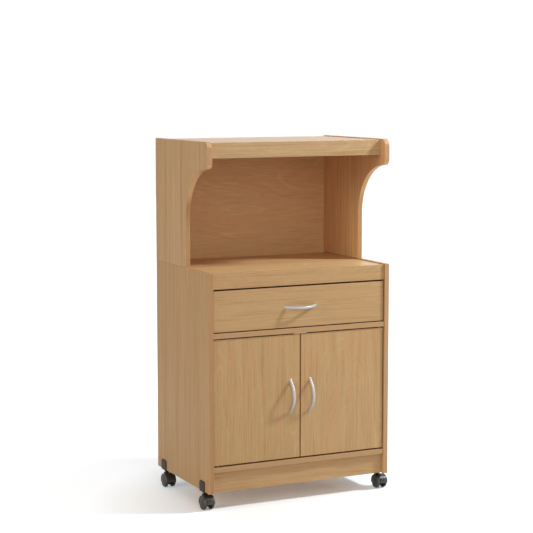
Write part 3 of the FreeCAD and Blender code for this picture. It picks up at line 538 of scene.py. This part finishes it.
# ------------------------------------------------------------------ mesh helpers
def new_piece(name, mesh_builder, material, smooth_angle=35.0):
    """Object from a bmesh, shaded smooth up to an angle."""
    mesh = bpy.data.meshes.new(name)
    bmesh.ops.recalc_face_normals(mesh_builder, faces=mesh_builder.faces)
    mesh_builder.to_mesh(mesh)
    mesh_builder.free()
    piece = bpy.data.objects.new(name, mesh)
    scene.collection.objects.link(piece)
    mesh.materials.append(material)
    for polygon in mesh.polygons:
        polygon.use_smooth = True
    mesh.set_sharp_from_angle(angle=math.radians(smooth_angle))
    return piece


def close_rings(builder, rings):
    """Faces between rings of vertices, with a cap on the first and the last ring."""
    count = len(rings[0])
    for low, high in zip(rings, rings[1:]):
        for i in range(count):
            j = (i + 1) % count
            builder.faces.new((low[i], low[j], high[j], high[i]))
    builder.faces.new(rings[0])
    builder.faces.new(rings[-1])


def lathe(builder, profile, segments=96):
    """Solid of revolution about X from (x, radius) points; both ends lie on the axis."""
    middle = profile[1:-1]
    rings = []
    for k in range(segments):
        turn = 2.0 * math.pi * k / segments
        rings.append([builder.verts.new((x, r * math.cos(turn), r * math.sin(turn)))
                      for x, r in middle])
    ends = [builder.verts.new((profile[0][0], 0.0, 0.0)),
            builder.verts.new((profile[-1][0], 0.0, 0.0))]
    for k in range(segments):
        here, there = rings[k], rings[(k + 1) % segments]
        for i in range(len(middle) - 1):
            builder.faces.new((here[i], here[i + 1], there[i + 1], there[i]))
        builder.faces.new((ends[0], here[0], there[0]))
        builder.faces.new((here[-1], ends[1], there[-1]))


def arc_points(centre, radius, start, end, count):
    """Points on an arc; degrees."""
    points = []
    for k in range(count):
        turn = math.radians(start + (end - start) * k / (count - 1))
        points.append((centre[0] + radius * math.cos(turn), centre[1] + radius * math.sin(turn)))
    return points


def swept(builder, section, low, high, steps):
    """Section of (x, radius) points swept about X; degrees up from -Y."""
    rings = []
    for k in range(steps + 1):
        turn = math.radians(low + (high - low) * k / steps)
        rings.append([builder.verts.new((x, -r * math.cos(turn), r * math.sin(turn)))
                      for x, r in section])
    close_rings(builder, rings)


def placed(piece, place, body, slot, *replaced):
    """Move the mesh to its place, and let it ride on a body."""
    piece.data.transform(Matrix.Translation(place))
    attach(piece, body)
    if replaced:
        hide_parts(*replaced)


def centre_of(node):
    low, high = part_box(node)
    return (low + high) / 2.0


# ------------------------------------------------------------------ handles
HANDLE_HOLES = 96.0 * MM
HANDLE_RISE = 26.5 * MM
HANDLE_LEG = math.radians(42.0)
HANDLE_HALF_WIDTH = 4.4 * MM
HANDLE_HALF_THICKNESS = 3.9 * MM
HANDLE_FLARE = 0.12
HANDLE_END = 2.2            # half thicknesses that the bow runs past its screws
HANDLE_SECTIONS = 56
HANDLE_CORNERS = 32
MERGE_DISTANCE = 0.00002


def handle_line(share):
    """Centre line of the bow as (along, rise, slope); share is -1 and 1 at the screws."""
    half = HANDLE_HOLES / 2.0
    bend = (half * math.tan(HANDLE_LEG) - HANDLE_RISE) / (1.0 / math.cos(HANDLE_LEG) - 1.0)
    along = half * share
    if abs(along) > bend * math.sin(HANDLE_LEG):
        rise = (half - abs(along)) * math.tan(HANDLE_LEG)
        return along, rise, -math.copysign(HANDLE_LEG, along)
    slope = -math.asin(along / bend)
    return along, HANDLE_RISE - bend * (1.0 - math.cos(slope)), slope


def make_handle(node, body, upright):
    """Satin bow with flared oval feet that lie flat on the front."""
    low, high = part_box(node)
    face_y = high.y
    middle = (low + high) / 2.0
    builder = bmesh.new()
    rings = []
    reach = 1.0 + HANDLE_END * HANDLE_HALF_THICKNESS / (HANDLE_HOLES / 2.0)
    for k in range(HANDLE_SECTIONS + 1):
        share = reach * (2.0 * k / HANDLE_SECTIONS - 1.0)
        along, rise, slope = handle_line(share)
        fat = 1.0 + HANDLE_FLARE * min(abs(share), 1.0) ** 2
        tangent = Vector((math.cos(slope), -math.sin(slope)))
        ring = []
        for i in range(HANDLE_CORNERS):
            turn = 2.0 * math.pi * i / HANDLE_CORNERS
            wide = HANDLE_HALF_WIDTH * fat * math.cos(turn)
            deep = HANDLE_HALF_THICKNESS * fat * math.sin(turn)
            x = along + deep * math.sin(slope)
            y = -rise + deep * math.cos(slope)
            if y > 0.0:
                # Slide back along the leg until the point lies on the front.
                x -= tangent.x * y / tangent.y
                y = 0.0
            ring.append(builder.verts.new((x, y, wide)))
        rings.append(ring)
    close_rings(builder, rings)
    bmesh.ops.remove_doubles(builder, verts=builder.verts, dist=MERGE_DISTANCE)
    piece = new_piece("bow_" + node, builder, satin, 50.0)
    if upright:
        piece.data.transform(Matrix.Rotation(math.pi / 2.0, 4, "Y"))
    placed(piece, Vector((middle.x, face_y, middle.z)), body, "handle_metal", node)


# ------------------------------------------------------------------ casters
WHEEL_RADIUS = 20.65 * MM
WHEEL_INNER = 8.0 * MM
WHEEL_OUTER = 17.8 * MM
WHEEL_ROUND = 4.6 * MM
WHEEL_INNER_ROUND = 2.3 * MM
WHEEL_RIM = WHEEL_RADIUS - WHEEL_ROUND
WHEEL_FACE = WHEEL_RIM - 1.5 * MM       # radius of the face inside the groove
WHEEL_FACE_DOME = 0.9 * MM
WHEEL_CAP = 7.2 * MM        # radius of the raised cap
WHEEL_CAP_HEIGHT = 1.4 * MM
WHEEL_CAP_SHOULDER = 1.35 * MM          # height of the cap at half its radius
TREAD_DEPTH = 1.2 * MM
PAINTED_SHADE_DEPTH = 1.5 * MM     # inner part of a wheel painted dark, as the shade under the hood
TREAD_INDEX = 1
PAINTED_SHADE_INDEX = 2
CASTER_TRAIL = 15.0 * MM
HOOD_CLEARANCE = 1.25 * MM
HOOD_WALL = 1.5 * MM
HOOD_INNER = WHEEL_RADIUS + HOOD_CLEARANCE
HOOD_OUTER = HOOD_INNER + HOOD_WALL
HOOD_HALF = 17.2 * MM
HOOD_FRONT = -5.0           # degrees up from straight ahead of the axle, as all angles here
HOOD_REAR = 196.0
HOOD_TOP = WHEEL_RADIUS + HOOD_OUTER
WEB_HALF = 6.8 * MM
WEB_BOTTOM = 12.0 * MM
WEB_REACH = HOOD_INNER + 0.3 * MM
WEB_REAR = 220.0
WEB_LOWEST = -90.0
HUB_RADIUS = 7.5 * MM
COLLAR_RADIUS = 9.5 * MM
COLLAR_HEIGHT = 4.0 * MM
COLLAR_ROUND = 1.0 * MM
SLOT_HALF = 8.2 * MM        # slot of the brake lever in the hood
SLOT_TOP = 32.5
CHEEK_UPPER = HOOD_INNER - 2.4 * MM     # web beside the lever, above the axle and below it
CHEEK_LOWER = HOOD_INNER - 4.9 * MM
POCKET_HALF = 5.0 * MM
POCKET_RADIUS = 12.0 * MM
POCKET_TOP = 50.5
LEVER_HALF = 7.6 * MM
LEVER_LOW = -4.0
LEVER_HIGH = 28.5
LEVER_PROUD = 1.5 * MM
LEVER_EDGE = 0.7 * MM
LEVER_EASE_STEPS = 3.0      # steps in which each end of a part is rounded
LEVER_PAINTED_SHADE_RIM = 0.3             # top end of the plate that takes painted shade, in degrees
WINDOW_HALF = 1.5 * MM
WINDOW_LOW = 9.0
TOE_LOW = 20.0
TOE_PROUD = 3.6 * MM
TOE_RISE = 1.5              # degrees in which the toe reaches its height
RIB_HEIGHT = 0.4 * MM
RIB_RATE = 60.0             # each rib takes 180 / 60 = 3 degrees
NECK_HALF = 4.6 * MM
NECK_HALF_HEIGHT = 2.0 * MM
BOSS_RADIUS = 3.2 * MM
PIN_RADIUS = 1.5 * MM
PIN_HALF = WEB_HALF - 0.4 * MM
PIN_FORWARD = 15.6 * MM
PIN_ABOVE = 6.0 * MM


def wheel_profile():
    """Half section of a wheel, from the hub's inner end to the middle of its face."""
    points = [(WHEEL_INNER, 0.0), (WHEEL_INNER, 0.5 * WHEEL_RADIUS)]
    points += arc_points((WHEEL_INNER + WHEEL_INNER_ROUND, WHEEL_RADIUS - WHEEL_INNER_ROUND),
                         WHEEL_INNER_ROUND, 180.0, 90.0, 6)
    points += arc_points((WHEEL_OUTER - WHEEL_ROUND, WHEEL_RIM), WHEEL_ROUND, 90.0, 8.0, 10)
    # Shallow groove inside the rim: depth, and distance from the rim.
    for depth, inset in ((0.1, 0.2), (0.7, 0.5), (0.7, 1.1), (0.1, 1.4)):
        points.append((WHEEL_OUTER - depth * MM, WHEEL_RIM - inset * MM))
    # Domed face, by shares of its radius.
    for share in (0.95, 0.85, 0.75, 0.65, 0.58):
        points.append((WHEEL_OUTER + WHEEL_FACE_DOME * (1.0 - share ** 2), share * WHEEL_FACE))
    # Raised cap with a groove round it: height, and distance outside the cap's radius.
    for height, beyond in ((0.2, 0.6), (0.2, 0.2), (0.9, 0.0), (1.2, -0.8)):
        points.append((WHEEL_OUTER + height * MM, WHEEL_CAP + beyond * MM))
    points += [(WHEEL_OUTER + WHEEL_CAP_SHOULDER, WHEEL_CAP * 0.5),
               (WHEEL_OUTER + WHEEL_CAP_HEIGHT, 0.0)]
    return points


def axle_centre(corner):
    """Middle of a caster on its axle, between its two wheels."""
    return (centre_of("caster_wheel_a_" + corner) + centre_of("caster_wheel_b_" + corner)) / 2.0


def make_wheel(corner, letter):
    """Wheel with a matt tread; letter a is the one on the left of the caster."""
    node = "caster_wheel_%s_%s" % (letter, corner)
    builder = bmesh.new()
    lathe(builder, wheel_profile())
    piece = new_piece("wheel_%s_%s" % (letter, corner), builder, dark_plastic, 30.0)
    piece.data.materials.append(tread_plastic)
    piece.data.materials.append(painted_shade_plastic)
    # The inner side of each wheel takes painted shade.
    for polygon in piece.data.polygons:
        centre = polygon.center
        if centre.x < WHEEL_INNER + PAINTED_SHADE_DEPTH:
            polygon.material_index = PAINTED_SHADE_INDEX
        elif math.hypot(centre.y, centre.z) > WHEEL_RADIUS - TREAD_DEPTH:
            polygon.material_index = TREAD_INDEX
    if letter == "a":
        piece.data.transform(Matrix.Rotation(math.pi, 4, "Z"))
    placed(piece, axle_centre(corner), "wheel_%s_%s" % (letter, corner), "caster_plastic", node)


def hood_radius(x, wall):
    """Radius of the hood's shell, which follows the rounded edge of the wheels."""
    middle = WHEEL_OUTER - WHEEL_ROUND
    bend = WHEEL_ROUND + HOOD_CLEARANCE + wall
    beyond = max(abs(x) - middle, 0.0)
    return WHEEL_RIM + math.sqrt(bend ** 2 - beyond ** 2)


def hood_section(low, high, count=22):
    """Closed section of the shell between two places along the axle."""
    along = [low + (high - low) * k / (count - 1) for k in range(count)]
    outside = [(x, hood_radius(x, HOOD_WALL)) for x in along]
    inside = [(x, hood_radius(x, 0.0)) for x in reversed(along)]
    return outside + inside


def plate(builder, outline, low, high):
    """Solid between two places along X, from an outline of (forward, up) points."""
    rings = [[builder.verts.new((x, -y, z)) for y, z in outline] for x in (low, high)]
    close_rings(builder, rings)


def web_outline(*arcs):
    """Outline from (radius, start, end) arcs, cut off level at the bottom of the web."""
    drop = WHEEL_RADIUS - WEB_BOTTOM
    points = []
    for radius, start, end in arcs:
        lowest = -math.degrees(math.asin(drop / radius))
        points += arc_points((0.0, 0.0), radius, min(start, 180.0 - lowest), max(end, lowest), 24)
    return points


def upright_rod(profile):
    """Mesh of a solid of revolution about Z from (height, radius) points."""
    builder = bmesh.new()
    lathe(builder, profile, 48)
    bmesh.ops.rotate(builder, verts=builder.verts, matrix=Matrix.Rotation(-math.pi / 2.0, 3, "Y"))
    return builder


def make_hood(corner):
    """Fork of a caster: curled shell over the wheels, web between them, hub and collar."""
    node = "caster_body_" + corner
    body = "swivel_" + corner
    braked = corner in FRONT_CORNERS
    shell = bmesh.new()
    if braked:
        swept(shell, hood_section(-HOOD_HALF, HOOD_HALF), SLOT_TOP, HOOD_REAR, 48)
        for low, high in ((-HOOD_HALF, -SLOT_HALF), (SLOT_HALF, HOOD_HALF)):
            swept(shell, hood_section(low, high), HOOD_FRONT, SLOT_TOP, 18)
    else:
        swept(shell, hood_section(-HOOD_HALF, HOOD_HALF), HOOD_FRONT, HOOD_REAR, 66)
    web = bmesh.new()
    if braked:
        core = web_outline((WEB_REACH, WEB_REAR, POCKET_TOP),
                           (POCKET_RADIUS, POCKET_TOP, WEB_LOWEST))
        plate(web, core, -POCKET_HALF, POCKET_HALF)
        cheek = web_outline((WEB_REACH, WEB_REAR, SLOT_TOP), (CHEEK_UPPER, SLOT_TOP, 0.0),
                            (CHEEK_LOWER, 0.0, WEB_LOWEST))
        plate(web, cheek, -WEB_HALF, -POCKET_HALF)
        plate(web, cheek, POCKET_HALF, WEB_HALF)
    else:
        plate(web, web_outline((WEB_REACH, WEB_REAR, WEB_LOWEST)), -WEB_HALF, WEB_HALF)
    top = HOOD_TOP - WHEEL_RADIUS
    low = WEB_BOTTOM - WHEEL_RADIUS
    hub = upright_rod([(low, 0.0), (low, HUB_RADIUS), (top - COLLAR_HEIGHT, HUB_RADIUS),
                       (top - COLLAR_HEIGHT, COLLAR_RADIUS), (top - COLLAR_ROUND, COLLAR_RADIUS),
                       (top, COLLAR_RADIUS - COLLAR_ROUND), (top, 0.0)])
    bmesh.ops.translate(hub, verts=hub.verts, vec=(0.0, CASTER_TRAIL, 0.0))
    centre = axle_centre(corner)
    # The web takes the painted shade plastic, as the shade between the wheels.
    for name, builder, material in (("hood", shell, hood_plastic), ("web", web, painted_shade_plastic),
                                    ("hub", hub, hood_plastic)):
        piece = new_piece("caster_%s_%s" % (name, corner), builder, material, 30.0)
        placed(piece, centre, body, "caster_plastic", node)


def lever_radius(angle):
    """Outer radius of the lever's plate, with a ribbed toe at its top."""
    if angle < TOE_LOW:
        return HOOD_OUTER + LEVER_PROUD
    rib = RIB_HEIGHT * abs(math.sin(math.radians((angle - TOE_LOW) * RIB_RATE)))
    rise = min((angle - TOE_LOW) / TOE_RISE, 1.0)
    return HOOD_OUTER + LEVER_PROUD + (TOE_PROUD - LEVER_PROUD) * rise - rib * rise


def lever_section(outside, low, high):
    """Section of the plate between two places along the axle, outer edges rounded."""
    edge = LEVER_EDGE
    corner = 0.3 * edge
    return [(low, HOOD_INNER), (low, outside - edge), (low + corner, outside - corner),
            (low + edge, outside), (high - edge, outside), (high - corner, outside - corner),
            (high, outside - edge), (high, HOOD_INNER)]


def lever_part(builder, low, high, start, end, steps):
    """One curved part of the plate; degrees up from straight ahead."""
    rings = []
    for k in range(steps + 1):
        angle = start + (end - start) * k / steps
        turn = math.radians(angle)
        from_end = min(k, steps - k)
        eased = LEVER_EDGE * max(1.0 - from_end / LEVER_EASE_STEPS, 0.0)
        section = lever_section(lever_radius(angle) - eased, low, high)
        rings.append([builder.verts.new((x, -r * math.cos(turn), r * math.sin(turn)))
                      for x, r in section])
    close_rings(builder, rings)


def make_lever(corner):
    """Brake lever: curved plate with an upright window, toe, neck, boss and pivot pins."""
    builder = bmesh.new()
    lever_part(builder, -LEVER_HALF, LEVER_HALF, LEVER_LOW, WINDOW_LOW, 20)
    lever_part(builder, -LEVER_HALF, -WINDOW_HALF, WINDOW_LOW, TOE_LOW, 20)
    lever_part(builder, WINDOW_HALF, LEVER_HALF, WINDOW_LOW, TOE_LOW, 20)
    lever_part(builder, -LEVER_HALF, LEVER_HALF, TOE_LOW, LEVER_HIGH, 36)
    low, high = PIN_ABOVE - NECK_HALF_HEIGHT, PIN_ABOVE + NECK_HALF_HEIGHT
    plate(builder, [(PIN_FORWARD, low), (WEB_REACH, low), (WEB_REACH, high), (PIN_FORWARD, high)],
          -NECK_HALF, NECK_HALF)
    for radius, half_length in ((BOSS_RADIUS, NECK_HALF), (PIN_RADIUS, PIN_HALF)):
        plate(builder, arc_points((PIN_FORWARD, PIN_ABOVE), radius, 0.0, 345.0, 24),
              -half_length, half_length)
    piece = new_piece("brake_plate_" + corner, builder, lever_plastic, 30.0)
    piece.data.materials.append(painted_shade_plastic)
    # The lever's top end takes painted shade, standing in for a dark slot.
    for polygon in piece.data.polygons:
        centre = polygon.center
        if math.atan2(centre.z, -centre.y) > math.radians(LEVER_HIGH - LEVER_PAINTED_SHADE_RIM):
            polygon.material_index = 1
    placed(piece, axle_centre(corner), "brake_" + corner, "caster_plastic", "brake_lever_" + corner)


# ------------------------------------------------------------------ caster brackets
PANEL_BOTTOM = 54.0 * MM
PANEL_HALF = 7.5 * MM
BRACKET_THICKNESS = 3.0 * MM
BRACKET_TOP = 85.0 * MM
BRACKET_HALF_WIDTH = 17.3 * MM
BRACKET_CORNER = 6.0 * MM
BRACKET_BEND = 2.6 * MM
BRACKET_EASE = 0.6 * MM
BRACKET_INNER_BEND = 0.4 * MM
BRACKET_INNER_EASE = 0.05 * MM
STEM_RADIUS = 5.0 * MM
FLANGE_RADIUS = 7.5 * MM
FLANGE_HEIGHT = 2.5 * MM
FLANGE_ROUND = 0.6 * MM


def bent_line(reach, bend, ease, top):
    """U-shaped line round the lower edge of the panel as (across, up) points."""
    low = PANEL_BOTTOM - (reach - PANEL_HALF) + bend
    return ([(-reach + ease, top), (-reach, top - ease)]
            + arc_points((-reach + bend, low), bend, 180.0, 270.0, 6)
            + arc_points((reach - bend, low), bend, 270.0, 360.0, 6)
            + [(reach, top - ease), (reach - ease, top)])


def make_bracket(corner):
    """U-shaped bracket with rounded leaves round the panel's edge, and its riveted stem."""
    node = "caster_bracket_" + corner
    low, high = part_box(node)
    corner_line = [(-BRACKET_HALF_WIDTH + BRACKET_CORNER - y, BRACKET_TOP - BRACKET_CORNER + z)
                   for y, z in arc_points((0.0, 0.0), BRACKET_CORNER, 0.0, 90.0, 10)]
    places = corner_line + [(-y, z) for y, z in reversed(corner_line)]
    builder = bmesh.new()
    rings = []
    for k, (y, top) in enumerate(places):
        rim = BRACKET_EASE if k in (0, len(places) - 1) else 0.0
        line = bent_line(PANEL_HALF + BRACKET_THICKNESS - rim, BRACKET_BEND, BRACKET_EASE, top)
        line += reversed(bent_line(PANEL_HALF, BRACKET_INNER_BEND, BRACKET_INNER_EASE, top))
        rings.append([builder.verts.new((x, y, z)) for x, z in line])
    close_rings(builder, rings)
    shell = new_piece("bracket_plate_" + corner, builder, bracket_paint, 25.0)
    shell.data.materials.append(painted_shade_rim)
    # All but the flat outer faces of the leaves take the painted shade.
    outside = PANEL_HALF + BRACKET_THICKNESS - BRACKET_INNER_EASE
    for polygon in shell.data.polygons:
        if abs(polygon.center.x) < outside:
            polygon.material_index = 1
    flange_low = PANEL_BOTTOM - BRACKET_THICKNESS - FLANGE_HEIGHT
    flange_high = flange_low + FLANGE_HEIGHT
    stem = upright_rod([(low.z, 0.0), (low.z, STEM_RADIUS), (flange_low, STEM_RADIUS),
                        (flange_low, FLANGE_RADIUS - FLANGE_ROUND),
                        (flange_low + FLANGE_ROUND, FLANGE_RADIUS), (flange_high, FLANGE_RADIUS),
                        (flange_high, 0.0)])
    stem = new_piece("caster_stem_" + corner, stem, dark_paint, 30.0)
    middle = (low + high) / 2.0
    for piece in (shell, stem):
        placed(piece, Vector((middle.x, middle.y, 0.0)), "cabinet", "bracket_metal", node)


for corner in CORNERS:
    make_bracket(corner)
    make_hood(corner)
    for letter in "ab":
        make_wheel(corner, letter)
for corner in FRONT_CORNERS:
    make_lever(corner)
for node, body, upright in (("drawer_handle", "drawer", False),
                            ("door_handle_left", "left_door", True),
                            ("door_handle_right", "right_door", True)):
    make_handle(node, body, upright)


# ------------------------------------------------------------------ catch plate
CATCH_REACH = 17.0 * MM     # in front of the catch's case
CATCH_LOW = 1.9 * MM        # below the top of the case
CATCH_HIGH = 0.2 * MM
CATCH_EASE = 0.3 * MM


def rounded_box(low, high, ease):
    """Box with eased edges as a bmesh."""
    builder = bmesh.new()
    bmesh.ops.create_cube(builder, size=1.0)
    for vertex in builder.verts:
        vertex.co = Vector(((a + b) / 2.0 + v * (b - a)) for a, b, v in zip(low, high, vertex.co))
    bmesh.ops.bevel(builder, geom=builder.edges[:], offset=ease, segments=2, profile=0.5,
                    affect="EDGES")
    return builder


def make_catch_plate():
    """Mounting plate of the magnetic catch, seen in the gap above the doors."""
    low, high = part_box("magnetic_catch")
    plate_low = Vector((low.x, low.y - CATCH_REACH, high.z - CATCH_LOW))
    plate_high = Vector((high.x, high.y, high.z - CATCH_HIGH))
    piece = new_piece("catch_plate", rounded_box(plate_low, plate_high, CATCH_EASE), pale_plastic)
    placed(piece, Vector(), "cabinet", "catch_plastic")


make_catch_plate()


# ------------------------------------------------------------------ construction's own pieces
def dress(node, material):
    """Give a construction node its material in place of the plain one."""
    mesh = nodes[node].data
    mesh.materials.clear()
    mesh.materials.append(material)


for node, material in make_materials().items():
    dress(node, material)
for node in nodes:
    if node.startswith(("caster_axle", "door_screws", "door_strike", "door_pivots")):
        dress(node, zinc)
for node in ("cabinet_screws", "drawer_fittings", "shelf_pins"):
    dress(node, zinc)
dress("board_connectors", dowel_wood)
for node in ("drawer_runner_left", "drawer_runner_right", "magnetic_catch"):
    dress(node, pale_plastic)
dress("pivot_bushes", brown_plastic)


# ------------------------------------------------------------------ floor, light, camera
def make_floor():
    """Plain pale floor, white in the picture, with the stand's soft shadow."""
    builder = bmesh.new()
    corners = [builder.verts.new((x * FLOOR_HALF, y * FLOOR_HALF, 0.0))
               for x, y in ((-1, -1), (1, -1), (1, 1), (-1, 1))]
    builder.faces.new(corners)
    mesh = bpy.data.meshes.new("floor")
    builder.to_mesh(mesh)
    builder.free()
    floor = bpy.data.objects.new("floor", mesh)
    scene.collection.objects.link(floor)
    shade = Shade("floor_white")
    seen = seen_rays(shade.tree)
    colour = shade.mix(seen, FLOOR_LIT, FLOOR_SEEN)
    shade.surface(Base_Color=colour, Roughness=0.9, Specular_IOR_Level=0.0)
    measure = shade.add("ShaderNodeVectorMath", operation="DISTANCE")
    shade.put(measure.inputs[0], shade.place.outputs["Object"])
    shade.put(measure.inputs[1], GLOW_CENTRE)
    distance = measure.outputs["Value"]
    glow = GLOW_STEPS[0][1]
    for (near, low), (far, high) in zip(GLOW_STEPS, GLOW_STEPS[1:]):
        step = shade.times(shade.ramp(distance, near, far, smooth=False), high - low)
        glow = shade.math("ADD", step, glow)
    warmth = shade.ramp(distance, *GLOW_WARM_FADE)
    glow_colour = shade.mix(warmth, GLOW_NEAR_COLOUR, GLOW_FAR_COLOUR)
    shade.surface(Emission_Color=glow_colour, Emission_Strength=shade.times(seen, glow))
    # Clear from below, so that the underside of the stand can be seen.
    clear = shade.add("ShaderNodeBsdfTransparent")
    below = shade.add("ShaderNodeNewGeometry").outputs["Backfacing"]
    faces = shade.add("ShaderNodeMixShader")
    links = shade.tree.links
    links.new(below, faces.inputs[0])
    links.new(shade.shader.outputs[0], faces.inputs[1])
    links.new(clear.outputs[0], faces.inputs[2])
    links.new(faces.outputs[0], shade.tree.nodes["Material Output"].inputs["Surface"])
    mesh.materials.append(shade.material)


def make_world():
    """Even pale sky for light, and plain white where it is seen."""
    world = bpy.data.worlds.new("studio")
    scene.world = world
    world.use_nodes = True
    tree = world.node_tree
    tree.nodes.clear()
    sky = tree.nodes.new("ShaderNodeBackground")
    sky.inputs[0].default_value = SKY_COLOUR + (1.0,)
    sky.inputs[1].default_value = SKY_STRENGTH
    white = tree.nodes.new("ShaderNodeBackground")
    white.inputs[0].default_value = WHITE + (1.0,)
    white.inputs[1].default_value = 1.0
    both = tree.nodes.new("ShaderNodeMixShader")
    output = tree.nodes.new("ShaderNodeOutputWorld")
    tree.links.new(seen_rays(tree), both.inputs[0])
    tree.links.new(sky.outputs[0], both.inputs[1])
    tree.links.new(white.outputs[0], both.inputs[2])
    tree.links.new(both.outputs[0], output.inputs[0])


def add_lamp(name, kind, power, colour, direction, place=Vector()):
    """Lamp at a place that shines against its direction."""
    lamp = bpy.data.lights.new(name, kind)
    lamp.energy = power
    lamp.color = colour
    holder = bpy.data.objects.new(name, lamp)
    holder.location = place
    holder.rotation_mode = "QUATERNION"
    holder.rotation_quaternion = direction.to_track_quat("Z", "Y")
    holder.visible_camera = False
    scene.collection.objects.link(holder)
    return lamp


def make_lights():
    for name, place, aim, size, watts, colour in (
            ("key", KEY_PLACE, KEY_AIM, KEY_SIZE, KEY_WATTS, KEY_COLOUR),
            ("front_box", BOX_PLACE, BOX_AIM, BOX_SIZE, BOX_WATTS, BOX_COLOUR)):
        lamp = add_lamp(name, "AREA", watts, colour, place - aim, place)
        lamp.shape = "DISK"
        lamp.size = size
    for name, direction, angle, strength, colour in (
            ("left_fill", FILL_DIRECTION, FILL_ANGLE, FILL_STRENGTH, FILL_COLOUR),
            ("rear_fill", REAR_DIRECTION, REAR_ANGLE, REAR_STRENGTH, REAR_COLOUR)):
        add_lamp(name, "SUN", strength, colour, direction).angle = angle


def make_camera():
    data = bpy.data.cameras.new("camera")
    data.lens = CAMERA_LENS
    data.sensor_width = SENSOR_WIDTH
    data.clip_start = 0.05
    data.clip_end = 60.0
    camera = bpy.data.objects.new("camera", data)
    camera.rotation_mode = "QUATERNION"
    camera.rotation_quaternion = CAMERA_LOOK.to_track_quat("-Z", "Y")
    camera.location = CAMERA_PLACE
    scene.collection.objects.link(camera)
    scene.camera = camera


make_floor()
make_world()
make_lights()
make_camera()
scene.view_settings.view_transform = "Standard"
